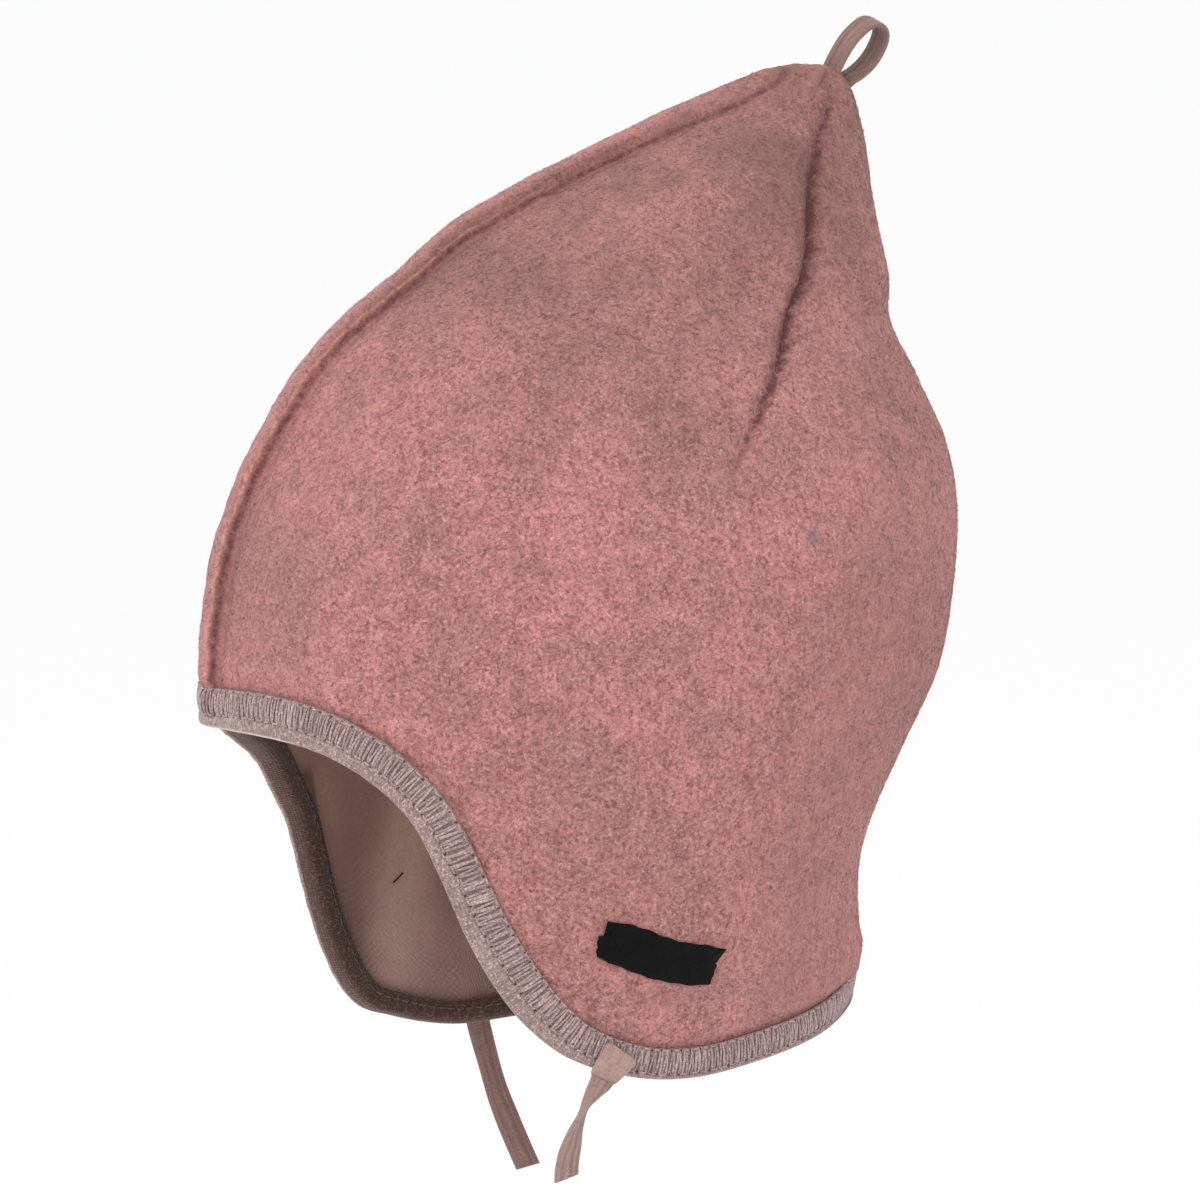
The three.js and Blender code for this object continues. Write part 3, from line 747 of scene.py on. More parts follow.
def wool_material(settings, name, pile):
    """The fleece, or its loose pile. The wool is greyer towards the point, and its flecks show
    more there. The fleece's masks: calm evens the melange out, grey greys it, crest colours the
    welt's top, edge paints a highlight on the line along it, and crease paints shade into the
    seams, beside the welt and above the binding. Every loose fibre has its own tone."""
    graph = new_material(name, 0.92, 0.3, linear(settings.sheen_colour), 0.15)
    place = graph.place()
    wool = graph.group(wool_group(), {
        "Vector": place, "Base": linear(settings.wool_colour),
        "Dark Hair": linear(settings.dark_hair), "Light Hair": linear(settings.light_hair),
        "Cloud": linear(settings.cloud_colour), "Tint": linear(settings.tint_colour),
        "Contrast": 0.7 if pile else graph.span(graph.attribute("calm"), 0.0, 1.0, 1.0, 0.55)})
    colour, flecks = wool["Color"], wool["Height"]
    if not pile:
        colour = graph.layers(colour, (graph.attribute("grey"), 0.42, GREYED_WOOL))
    high = graph.span(graph.split(place)["Z"], -0.04, 0.035)
    uneven = graph.span(graph.noise(place, 30, 3, 0.55), 0.36, 0.64, 0.3, 1.0)
    colour = graph.layers(
        colour, (graph.times(high, uneven), 0.85, settings.point_colour),
        (graph.times(graph.span(flecks, -0.35, -0.95), high), 0.4, settings.dark_hair),
        (graph.times(graph.span(flecks, 0.02, 0.6), high), 0.3, settings.light_hair))
    if pile:
        tone = graph.attribute("tone")
        colour = graph.layers(
            colour, (graph.span(tone, 0.0, 0.45, 1.0, 0.0), 0.24, settings.dark_hair),
            (graph.span(tone, 0.45, 1.0), 0.4, settings.light_hair))
    else:
        # Painted shade: the crease mask darkens the seams and the welt's flanks, broken up by
        # noise.
        ragged = graph.span(graph.noise(place, 620, 4, 0.72), 0.36, 0.62, 0.4, 1.4)
        crease = graph.math("MULTIPLY", graph.attribute("crease"), ragged, clamp=True)
        crest = graph.attribute("crest")
        warm = graph.times(graph.patches(place, 210, 3, 0.6, 0.46, 0.64),
                           graph.times(crest, high))
        smudge = graph.add("ShaderNodeVectorMath", {0: place, 1: SMUDGE_PLACE},
                           operation="DISTANCE").outputs["Value"]
        # Painted highlight: the edge mask lights the line along the welt beside its painted
        # shadow.
        colour = graph.layers(
            colour, (crest, 0.6, CREST_MAUVE), (warm, 0.55, CREST_WARM),
            (graph.times(graph.attribute("edge"), ragged), 0.55, WELT_EDGE_HIGHLIGHT),
            (crease, 0.88, settings.crease_shade_colour),
            (graph.span(smudge, 0.0008, 0.0024, 1.0, 0.0), 0.5, SMUDGE))
    return graph.finish(colour, flecks, 0.0003, 0.8)


def jersey_material(settings):
    """The lining: a fine jersey whose light stitches stand in a diamond net, clearest low
    down. It has clouds and mauve patches, painted shade in its folds' valleys and painted
    highlights on their crests, painted light higher up, and a painted shadow where it comes out
    from under the binding."""
    graph = new_material("Lining Jersey", 0.9, 0.2, (0.8, 0.7, 0.68, 1), 0.2)
    stitches = graph.split(graph.cloth(LINING_COLUMNS, LINING_ROWS))
    place = graph.place()
    wander = graph.times(graph.noise(place, 190, 3, 0.6), 2.4)
    one, two = (
        graph.math("SINE", graph.times(graph.math("ADD", stitches[axis], wander), 2 * np.pi))
        for axis in "XY")
    level = graph.split(place)["Z"]
    clear = graph.times(graph.span(level, -0.118, -0.142, 0.02, 0.85),
                        graph.span(graph.noise(place, 70, 2, 0.5), 0.38, 0.6, 0.35, 1.0))
    light = graph.times(graph.span(graph.times(one, two), -0.5, 0.9), clear)
    speck = graph.patches(place, 900, 3, 0.65, 0.42, 0.7)
    fold = graph.attribute("fold")
    colour = graph.layers(
        settings.lining_colour,
        (graph.patches(place, 34, 3, 0.55, 0.4, 0.62), 0.65, settings.lining_shade),
        (graph.patches(place, 52, 2, 0.5, 0.48, 0.6), 0.6, LINING_MAUVE),
        # Painted shade in the folds' valleys and painted highlights on their crests.
        (graph.span(fold, 0.5, 0.05), 0.6, FOLD_SHADE),
        (graph.span(fold, 0.45, 1.0), 0.6, FOLD_HIGHLIGHT),
        # Painted light on the lining's upper part.
        (graph.span(level, -0.14, -0.1), 0.34, LINING_UPPER_LIGHT),
        # Painted shadow where the lining comes out from under the binding.
        (speck, 0.3, settings.lining_shade), (graph.attribute("shade"), 0.6, LINING_FOOT_SHADOW),
        (light, 0.45, settings.lining_light))
    return graph.finish(colour, graph.total((light, 0.7), (speck, -0.3)), 0.0002, 0.7)


# In the binding's own millimetres round its section: the lower needle line, the one inside and
# the upper end of the ladder.
LOW_MARK, INSIDE_MARK = BINDING_UV_SPAN / 2, 18.5
TOP_MARK = LOW_MARK + LADDER_WIDTH


def binding_material(settings, perimeter):
    """The binding: ribs across the strip, flecked yarn, painted shade in the needle holes along
    the stitch lines, between the ribs and between the cover threads, a painted shadow under its
    upper rim, and a browner leaf on the inside, painted darker also as shade, with a painted
    shadow at its foot. The UV's x is the share of the way round the edge and its y is 0.5 at the
    lower needle line, a millimetre for every 1/64."""
    graph = new_material("Binding Jersey", 0.88, 0.3, (0.9, 0.82, 0.82, 1), 0.22)
    ribs = graph.group(knit_group(), {"Vector": graph.cloth(
        round(perimeter / RIB_WIDTH), BINDING_UV_SPAN / RIB_STEP)})
    place = graph.place()
    fleck = graph.patches(place, 1500, 2, 0.6, 0.5, 0.72)
    rosy = graph.patches(place, 640, 2, 0.6, 0.54, 0.68)
    marks = graph.split(graph.cloth(round(perimeter / settings.stitch_length), BINDING_UV_SPAN))
    height = marks["Y"]
    along = graph.times(graph.off(graph.math("FRACT", marks["X"]), 0.5), settings.stitch_length)
    # Painted shade in the needle holes.
    hole = 0.0
    for line, radius in ((LOW_MARK, 0.5), (TOP_MARK + 0.05, 0.4), (INSIDE_MARK, 0.35)):
        off = graph.off(height, line)
        far = graph.math("SQRT", graph.total((along, along), (off, off)))
        hole = graph.math("MAXIMUM", hole, graph.span(far, radius / 2, radius, 1.0, 0.0))
    # Painted shade on the binding between the cover threads.
    ladder = graph.times(graph.span(height, LOW_MARK + 0.2, LOW_MARK + 0.8),
                         graph.span(height, TOP_MARK - 1.0, TOP_MARK - 0.2, 1.0, 0.0))
    # The inner leaf: its own browner colour, painted darker also as the shade it lies in, with a
    # painted shadow at its foot by the lining.
    brown = graph.layers(
        settings.binding_inside_tone_and_shade, (graph.span(height, 22.5, 27.0), 0.32, LEAF_TOP),
        (fleck, 0.6, LEAF_LIGHT), (rosy, 0.7, LEAF_RED),
        (graph.span(height, INSIDE_MARK + 0.7, INSIDE_MARK - 0.7), 0.8, LEAF_FOOT_SHADOW))
    colour = graph.layers(
        settings.binding_colour,
        (graph.patches(place, 45, 2, 0.5, 0.4, 0.62), 0.45, settings.binding_shade),
        (rosy, 0.4, ROSY_YARN), (graph.patches(place, 800, 3, 0.65, 0.42, 0.7), 0.6, DARK_YARN),
        (fleck, 0.75, LIGHT_YARN), (ribs["Gap"], 0.4, RIB_GAP_SHADE), (hole, 0.85, NEEDLE_HOLE_SHADE),
        # Painted shadow under the binding's upper rim, where the fleece overhangs it.
        (graph.span(height, TOP_MARK + 0.25, TOP_MARK + 0.9), 0.45, BINDING_RIM_SHADOW),
        (ladder, 0.6, settings.thread_dark_and_gap_shade),
        (graph.span(graph.attribute("inner"), 0.2, 0.8), 0.96, brown),
        (graph.attribute("pale"), 1.0, CREAM))
    return graph.finish(colour, graph.total((ribs["Height"], 0.8), (hole, -1.6)), 0.0003, 0.9)


def thread_material(name, colour, dark):
    """Sewing thread: a plied yarn. Every stitch has its own tone."""
    graph = new_material(name, 0.7, 0.25, (1, 0.95, 0.95, 1), 0.35)
    ply = graph.patches(graph.place(), 2200, 2, 0.6, 0.4, 0.66, warp=0.8)
    colour = graph.layers(colour, (ply, 0.75, dark), (
        graph.span(graph.attribute("tone"), 0.0, 1.0, 1.0, 0.0), 0.4, dark))
    return graph.finish(colour, ply, 0.00012, 0.8)


def tape_material(settings, name, colour, length):
    """Jersey tape folded lengthwise: fine columns, paler and darker streaks along it, and painted
    shade in its folds, its creases and the gaps between its stitches. The UV's x runs along the
    tape and its y round it."""
    graph = new_material(name, 0.88, 0.3, (0.92, 0.84, 0.82, 1), 0.2)
    knit = graph.group(knit_group(), {"Vector": graph.cloth(
        length / TAPE_STITCH_LENGTH, TAPE_GIRTH / TAPE_STITCH_WIDTH)})
    streak = graph.patches(graph.cloth(length / 9, 26), 1.0, 3, 0.6, 0.4, 0.64)
    place = graph.place()
    speck = graph.patches(place, 1100, 3, 0.65, 0.42, 0.7)
    cloud = graph.patches(place, 160, 2, 0.5, 0.4, 0.64)
    dark = settings.tape_shade
    # Painted shade in the tape's folds, across the tab's crease and in the gaps between its
    # stitches.
    colour = graph.layers(
        colour, (streak, 0.55, dark), (cloud, 0.25, dark),
        (graph.attribute("plain"), 0.6, settings.tab_colour), (speck, 0.4, dark),
        (knit["Gap"], 0.1, dark), (graph.attribute("crease"), 0.5, TAPE_CREASE_SHADE))
    return graph.finish(colour, graph.total((knit["Height"], 0.5), (speck, -0.5)), 0.0002, 0.8)


def leather_material(settings):
    """The label: black leather-like stuff with a fine pebbled grain, paler within half a
    millimetre of its rims.
    """
    graph = new_material("Label Leather", 0.55, specular=0.12)
    place = graph.place()
    cells = graph.add("ShaderNodeTexVoronoi", {"Vector": place, "Scale": 1900.0},
                      feature="DISTANCE_TO_EDGE").outputs["Distance"]
    haze = graph.patches(place, 260, 4, 0.6, 0.42, 0.7)
    colour = graph.layers(settings.label_colour, (haze, 0.5, LABEL_HAZE),
                          (graph.attribute("pale_rim"), 0.3, LABEL_PALE_RIM))
    graph.join(graph.span(haze, 0.0, 1.0, 0.52, 0.72), graph.shader, "Roughness")
    grain = graph.total((graph.span(cells, 0.0, 0.16), 1.0), (haze, 1.2))
    return graph.finish(colour, grain, 0.0002, 0.8)


# Settings.


def colour_setting(name, description, value):
    """A colour of 0 to 255 for each of red, green and blue, as a screen shows it."""
    return bpy.props.IntVectorProperty(name=name, description=description, default=value,
                                       size=3, min=0, max=255)


class BonnetClothSettings(bpy.types.PropertyGroup):
    """The fleece and the lining."""

    wool_colour: colour_setting("Wool", "Ground colour of the fleece", (202, 135, 131))
    cloud_colour: colour_setting("Wool clouds", "Greyer areas of the fleece", (168, 118, 110))
    tint_colour: colour_setting("Wool tint", "Mauve blotches of the fleece", (174, 122, 120))
    dark_hair: colour_setting("Dark hair", "Darkest wool in the melange", (110, 58, 56))
    light_hair: colour_setting("Light hair", "Lightest wool in the melange", (228, 178, 172))
    point_colour: colour_setting("Point", "The greyer wool near the point", (130, 94, 87))
    # Painted shade, laid into the seams' creases, beside the welt and above the binding.
    crease_shade_colour: colour_setting("Crease", "Wool down in the seams", (84, 40, 44))
    sheen_colour: colour_setting("Sheen", "Light on the pile's tips", (230, 200, 196))
    lining_colour: colour_setting("Lining", "Ground colour of the jersey lining", (156, 122, 112))
    lining_shade: colour_setting("Lining shade", "The lining's darker areas", (118, 88, 77))
    lining_light: colour_setting("Lining light", "The lining's raised stitches", (176, 150, 142))
    pile_count: bpy.props.IntProperty(
        name="Pile fibres", description="Loose fibres on each third of the fleece",
        default=24000, min=0, max=26000)
    pile_length: bpy.props.FloatProperty(
        name="Pile length", description="Length of an average loose fibre",
        default=0.0021, min=0.0005, max=0.006, unit="LENGTH", subtype="DISTANCE")
    pile_width: bpy.props.FloatProperty(
        name="Pile width", description="Width of a loose fibre at its middle",
        default=0.00008, min=0.00004, max=0.0004, unit="LENGTH", subtype="DISTANCE")


class BonnetTrimSettings(bpy.types.PropertyGroup):
    """The binding, its stitches, the tapes and the label."""

    binding_colour: colour_setting("Binding", "Ground colour of the binding", (158, 134, 131))
    binding_shade: colour_setting("Binding shade", "The binding's darker areas", (136, 110, 106))
    # The inner leaf's own browner colour, made darker as painted shade.
    binding_inside_tone_and_shade: colour_setting("Binding inside", "The binding's inner leaf", (64, 40, 34))
    thread_colour: colour_setting("Thread", "Sewing thread of the binding", (198, 170, 169))
    # The thread's darker plies, and painted shade on the binding between the cover threads.
    thread_dark_and_gap_shade: colour_setting("Thread shade", "Between the threads", (94, 72, 71))
    near_tape: colour_setting("Left tie", "Ground colour of the left tie", (172, 141, 133))
    # The right tie lies on the far side: the same tape as the left tie, painted darker as shade.
    far_tie_shaded_colour: colour_setting("Right tie", "Ground colour of the right tie", (150, 120, 113))
    loop_colour: colour_setting("Loop", "Ground colour of the loop", (143, 115, 107))
    tape_shade: colour_setting("Tape shade", "The tape's darker areas", (112, 87, 80))
    tab_colour: colour_setting("Tab", "The tie's plain sewn end", (172, 144, 135))
    label_colour: colour_setting("Label", "The label's leather", (4, 4, 4))
    stitch_length: bpy.props.FloatProperty(
        name="Stitch length", description="One needle stitch of the binding, in millimetres",
        default=2.5, min=1.0, max=5.0)
    ladder_pitch: bpy.props.FloatProperty(
        name="Ladder pitch", description="From one cover thread to the next, in millimetres",
        default=0.8, min=0.5, max=2.0)


class BonnetStageSettings(bpy.types.PropertyGroup):
    """The camera, the floor and the light."""

    azimuth: bpy.props.FloatProperty(
        name="Azimuth", description="Where the camera stands, round from the front",
        default=np.radians(68), unit="ROTATION", subtype="ANGLE")
    elevation: bpy.props.FloatProperty(
        name="Elevation", description="How far the camera looks down",
        default=np.radians(4), unit="ROTATION", subtype="ANGLE")
    distance: bpy.props.FloatProperty(
        name="Distance", description="From the camera to the bonnet's middle",
        default=2.0, min=0.5, unit="LENGTH", subtype="DISTANCE")
    floor_height: bpy.props.FloatProperty(
        name="Floor height", description="The floor, well below the bonnet",
        default=-0.45, unit="LENGTH", subtype="DISTANCE")
    ambient: bpy.props.FloatProperty(
        name="Ambient light", description="Brightness of the even studio light",
        default=1.035, min=0.0, max=3.0)
    key_power: bpy.props.FloatProperty(
        name="Key light", description="Power of the large soft light in front",
        default=10.0, min=0.0, unit="POWER")
    fill_power: bpy.props.FloatProperty(
        name="Fill light", description="Power of the soft light from above",
        default=3.0, min=0.0, unit="POWER")


# Pieces.


def cup(columns, faces):
    """A cup of cloth: its inner face from the top down to the edge, then its outer face from
    the edge up to the top. faces is (top level, rows, inset function) for inner and outer.
    Gives the rings, their angles and the masks of painted shade that the inset functions give."""
    rings, angles, masks = [], [], []
    for index, (top, rows, inset_of) in enumerate(faces):
        angle, level = columns.grid(top, rows)
        inset, mask = inset_of(angle, level)
        points = shell_point(angle, level, inset)
        order = slice(None, None, -1) if index == 0 else slice(None)
        rings.append(points[order])
        angles.append(angle[order])
        masks.append(mask[order])
    return np.concatenate(rings), np.concatenate(angles), np.concatenate(masks)


def dart_depth(level):
    """How deep the dart's fold is at a level."""
    return np.where(level > DART["level"][0], smooth(DART, "level", level, "depth"), 0)


def draw_in(angle):
    """How far the binding draws the edge in: hardly in front, 1.2 mm behind."""
    turned = side_degrees(angle)
    return 0.1 + 0.5 * ease(70, 110, turned) + 0.6 * ease(118, 155, turned)


def tuck(angle, share):
    """How much further the binding turns in towards its fold at the nape. share is 0 at the
    binding's upper rim and 1 at the fold."""
    return 0.6 * share * ease(122, 158, side_degrees(angle))


def fleece_outside(angle, level):
    """Inset and painted shade mask of the shell's outer face: the dart's fold, which rolls in over
    5 mm in front and comes up again within 3 mm behind, with short puckers there, a valley
    beside the welt, the edge drawn in under the binding with a bulge above it, which hangs over
    the binding at the nape, and a gentle unevenness. The mask paints shade into the dart's fold,
    the valley beside the welt and a line just above the binding."""
    depth = dart_depth(level)
    behind = (np.abs(wrap(angle)) - dart_angle(level)) * half_length(level)
    reach = np.where(behind < 0, DART_FRONT_REACH, DART_BACK_REACH)
    share = np.clip(1 - np.abs(behind) / reach, 0, 1)
    fold = depth * share**1.6
    pucker = np.sin(level * 1.05 + 1.7 * np.sin(level * 0.31))
    fold = fold - 0.16 * depth * pucker * hill(behind, 4.2, 3.0) * (behind > 0)
    face = shell_point(angle, level)
    front = np.abs(wrap(angle)) < 1.2
    across = np.abs(face[..., 0])
    near_point = ease(46, 34, level)
    beside = np.where(front, hill(across, 3.6, 1.2), 0) * near_point
    cover = edge_value(angle, "cover")
    height = above_edge(angle, level)
    behind_ear = side_degrees(angle)
    hang = 4.2 * ease(138, 166, behind_ear)
    covered = ease(cover + 2.6 - 1.05 * hang, cover - 0.4 - 0.8 * hang, height)
    bulge = 0.4 * hill(height, cover + 4.4, 2.6)
    nape = 0.45 * hill(height, cover + 8, 16) + 0.5 * hill(height, cover + 2.5, 6)
    bulge = bulge + ease(118, 150, behind_ear) * nape
    waves = 0.3 * swell(face, 17) * (1 - ease(cover + 4, cover - 0.5, height))
    waves = waves * ease(56, 44, level)
    inset = fold + (0.2 + 0.4 * ease(0, 26, level)) * beside - bulge - waves
    inset = inset + (0.15 + draw_in(angle)) * covered
    # The mask is painted shade: along the dart's fold and rolling into it in front, in the valley
    # beside the welt, and in a line just above the binding.
    seam = np.clip(depth / 1.7, 0, 1) * ease(57, 48, level)
    path = 0.1 + 0.3 * np.sin(level * 2.1) + 0.2 * np.sin(level * 0.77 + 1)
    dark = seam * (0.95 + 0.3 * pucker) * hill(behind, path, 1.2 + 0.25 * np.sin(level * 1.3))
    dark = dark + 0.42 * seam * hill(behind, -1.0, 3.0)
    valley = np.where(front, 0.4 * hill(across, 3.3, 0.8) + 0.2 * hill(across, 3.8, 2.2), 0)
    dark = np.maximum(dark, valley * (0.6 + 0.9 * ease(0, 26, level)) * ease(45, 36, level))
    dark = np.maximum(dark, 0.45 * hill(height, cover + 0.1, 0.5))
    return inset, dark


def fleece_inside(angle, level):
    """Inset of the shell's inner face: the fleece's thickness, and the dart as a plain fold."""
    away = dart_distance(angle, level)
    return FLEECE + dart_depth(level) * np.clip(1 - away / DART_HALF_WIDTH, 0, 1), 0 * level


def lining_folds(angle, level):
    """How far the lining stands off the shell in soft upright folds, above the binding."""
    turned = wrap(angle)
    slant = 0.8 * np.sin(level / 19)
    folds = 0.55 * (1 + np.sin(12 * turned + slant)) * (0.6 + 0.4 * np.sin(3 * turned + 1.1))
    folds = folds + 0.25 * (1 + np.sin(29 * turned - 1.7 * slant + level / 31))
    return folds * ease(7, 24, above_edge(angle, level)) * ease(50, 20, level)


def lining_face(base):
    """The inset function of one face of the lining. Its mask is the painted shadow line where
    the lining comes out from under the binding."""
    def inset_of(angle, level):
        inside = fleece_inside(angle, level)[0] - FLEECE
        folds = lining_folds(angle, level)
        return base + inside + folds, hill(above_edge(angle, level), 3.9, 0.8)
    return inset_of


def make_shell(settings):
    """The fleece shell, with a fine grid on its outer face and a rounded tip, whose rings
    shrink to its middle along a quarter of an ellipse. Beside the welt and behind the wool is
    calmer."""
    columns = Columns(foot=6, before=92, dart=14, after=50)
    rings, angle, crease = cup(columns, [(TOPS["shell_inside"], 26, fleece_inside),
                                         (TOPS["shell_outside"], 196, fleece_outside)])
    turned = side_degrees(angle)
    beside = ease(46, 8, np.abs(rings[..., 0])) * (turned < 75)
    behind = ease(104, 128, turned) * (1 - 0.55 * ease(-62, -34, rings[..., 2]))
    calm, grey = np.maximum(beside, 0.8 * behind), np.maximum(0.12 * beside, 0.8 * behind)
    middle = rings[-1].mean(0)
    turn = np.linspace(0, np.pi / 2, 7)[1:-1, None, None]
    tip = middle + (rings[-1] - middle) * np.cos(turn)
    tip = tip + np.array([0, 0.45, 1.0]) * np.sin(turn)
    rings = np.concatenate([rings, tip])
    masks = {key: np.concatenate([mask, np.zeros(tip.shape[:2])])
             for key, mask in (("crease", crease), ("calm", calm), ("grey", grey))}
    piece = skin("fleece_shell", rings, wool_material(settings, "Wool Fleece", False), masks)
    put(piece, "wool_fleece", "outer_shell")


def welt_rings(count):
    """The welt: its section carried up the middle of the front. It is lower at the brow, and
    towards the point its feet spread until it is a soft ridge."""
    share = np.linspace(0, 1, count)
    level = lerp(WELT["start"], WELT["end"], 1 - (1 - share) ** 1.15)[:, None]
    fade = np.clip((57.2 - level) / WELT["tail"], 0.02, 1) ** 0.9
    uneven = 1 + 0.03 * np.sin(level * 0.33) + 0.015 * np.sin(level * 0.9 + 1)
    profile = through(dict(WELT_SECTION), 61)
    across, rise = profile["across"][None, :], profile["rise"][None, :]
    spread = 1 + 1.5 * ease(36, 53, level) * (1 - np.clip(rise, 0, 1))
    angle = angle_across(level, across * WELT["half_width"] * uneven * spread)
    groove, _ = welt_shadow(level, rise, across)
    height = (rise - 0.07 * groove) * WELT["height"] * fade * uneven
    height = height * (0.42 + 0.48 * ease(-81.6, -77.8, level) + 0.1 * ease(-78, -62, level))
    return shell_point(angle, level, -0.02 - height), level, rise, across


def welt_shadow(level, rise, across):
    """Masks of the painted shadow along the welt's flank, which sinks to its foot halfway up and
    climbs over its crest near the point, and of the painted highlight on the edge above that
    shadow."""
    middle = smooth(WELT_LINE, "level", level, "middle")
    wide = smooth(WELT_LINE, "level", level, "wide")
    ragged = 0.04 * np.sin(level * 0.8 + 2 * np.sin(level * 0.23)) + 0.02 * np.sin(level * 1.9)
    off = (rise - middle - ragged * np.clip(wide * 4, 0, 1)) / wide
    soft_side = np.clip(1.1 - 0.75 * np.abs(off), 0, 1)
    shadow = np.where(off > 0, np.clip(1.35 - 1.4 * off**2, 0, 1), soft_side)
    shadow = shadow * ease(55.4, 53.4, level)
    shadow = shadow * (np.abs(across) > 0.2)
    edge = hill(off, 1.5, 0.3) * ease(34, 14, level) * (np.abs(across) > 0.2)
    return shadow, edge


def make_welt():
    """The raised front seam, with painted shadow along its flanks, a painted highlight on the edge
    above it, and mauve on its crest.
    """
    rings, level, rise, across = welt_rings(420)
    crease, edge = welt_shadow(level, rise, across)
    piece = skin("front_seam", rings, bpy.data.materials["Wool Fleece"], {
        "crease": 0.66 * crease, "calm": 1.0, "grey": 1.0, "edge": edge,
        "crest": ease(0.7, 0.98, rise) * ease(52, 40, level)})
    put(piece, "wool_fleece", "front_seam_welt")


def cells(points, free):
    """The corner and the two sides of each cell of a grid whose corners are free."""
    corner, beside, up = points[:-1], np.roll(points, -1, 1)[:-1], points[1:]
    free = free[:-1] & np.roll(free, -1, 1)[:-1] & free[1:]
    return corner[free], (beside - corner)[free], (up - corner)[free]


def pile_seats():
    """Small faces of the shell and the welt that carry pile: their corner, their two sides and
    their areas. Faces under the binding, the welt and the label carry none."""
    columns = Columns(foot=4, before=70, dart=8, after=40)
    angle, level = columns.grid(TOPS["shell_outside"] - 0.3, 130)
    points = shell_point(angle, level, fleece_outside(angle, level)[0])
    free = above_edge(angle, level) > edge_value(angle, "cover") + 0.5
    free &= ~((np.abs(points[..., 0]) < 2.7) & (np.abs(wrap(angle)) < 1.2))
    flat = label_flat(angle, level)
    free &= ~((np.abs(flat[0] - 0.5) < 15.5) & (np.abs(flat[1]) < 5.6))
    seats = cells(points, free)
    rings, _, rise, _ = welt_rings(200)
    welt = cells(rings, np.broadcast_to(rise > 0.2, rings.shape[:2]))
    corner, across, rise = (np.concatenate(pair) for pair in zip(seats, welt))
    area = np.linalg.norm(np.cross(across, rise), axis=1)
    area[len(seats[0]):] *= 0.5
    return corner, across, rise, area


# The share of the loose fibres with a free end, how high the middles of standing and lying
# fibres are at least, and how deep the first and the last ends of a fibre lie in the wool.
PILE_STANDING = 0.16
STANDING_LIFT, LYING_LIFT, FIRST_DEPTH, LAST_DEPTH = 0.2, 0.05, 0.08, 0.06


def make_pile(settings):
    """Loose wool fibres in three pieces. Each is a thin closed spindle of five points: two tips
    in or near the cloth and a three-sided ring at its middle, which is lifted and pushed
    sideways, so that the fibre is bent. Some have a free end that stands up."""
    material = wool_material(settings, "Wool Pile", True)
    corner, across, rise, area = pile_seats()
    normal = unit(np.cross(across, rise))
    centre = np.array([0, 5, -50.0])
    outward = np.sign((normal * (corner - centre)).sum(1, keepdims=True))
    normal = normal * outward
    middle = corner + (across + rise) / 2
    third = np.degrees(np.arctan2(middle[:, 0], -(middle[:, 1] - 5)))
    parts = {"front": np.abs(third) < 62, "left": third >= 62, "right": third <= -62}
    length, width = settings.pile_length / MM, settings.pile_width / MM
    rng = np.random.default_rng(PILE_SEED)
    for name, chosen in parts.items():
        count = settings.pile_count
        index = rng.choice(np.flatnonzero(chosen), count,
                           p=area[chosen] / area[chosen].sum())
        share = rng.random((count, 2, 1))
        seat = corner[index] + across[index] * share[:, 0] + rise[index] * share[:, 1]
        up = normal[index]
        flat = unit(across[index])
        side = np.cross(up, flat)
        turn = rng.random((count, 1)) * 2 * np.pi
        run = flat * np.cos(turn) + side * np.sin(turn)
        beside = np.cross(up, run)
        half = length * (0.45 + 0.9 * rng.random((count, 1))) / 2
        stands = rng.random((count, 1)) < PILE_STANDING
        lift = np.where(stands, STANDING_LIFT, LYING_LIFT) + 0.08 * rng.random((count, 1))
        end_lift = np.where(stands, STANDING_LIFT + 0.4 * rng.random((count, 1)), -LAST_DEPTH)
        bow = (rng.random((count, 1)) - 0.5) * 0.7 * half
        thick = width * (0.7 + 0.7 * rng.random((count, 1))) / 2
        first = seat - run * half - up * FIRST_DEPTH
        last = seat + run * half * np.where(stands, 0.6, 1.0) + up * end_lift
        waist = seat + up * lift + beside * bow
        ring = [waist + up * thick, waist - up * thick * 0.5 + beside * thick * 0.87,
                waist - up * thick * 0.5 - beside * thick * 0.87]
        vertices = np.stack([first, *ring, last], 1).reshape(-1, 3)
        faces = np.array([[0, 2, 1], [0, 3, 2], [0, 1, 3], [4, 1, 2], [4, 2, 3], [4, 3, 1]])
        if inside_out(vertices, NO_QUADS, faces):
            faces = faces[:, ::-1]
        triangles = (faces + (np.arange(count) * 5)[:, None, None]).reshape(-1, 3)
        tone = np.repeat(rng.random(count), 5)
        piece = write_mesh(f"wool_pile_{name}", vertices, NO_QUADS, triangles, material,
                           masks={"tone": tone})
        put(piece, "wool_fleece")


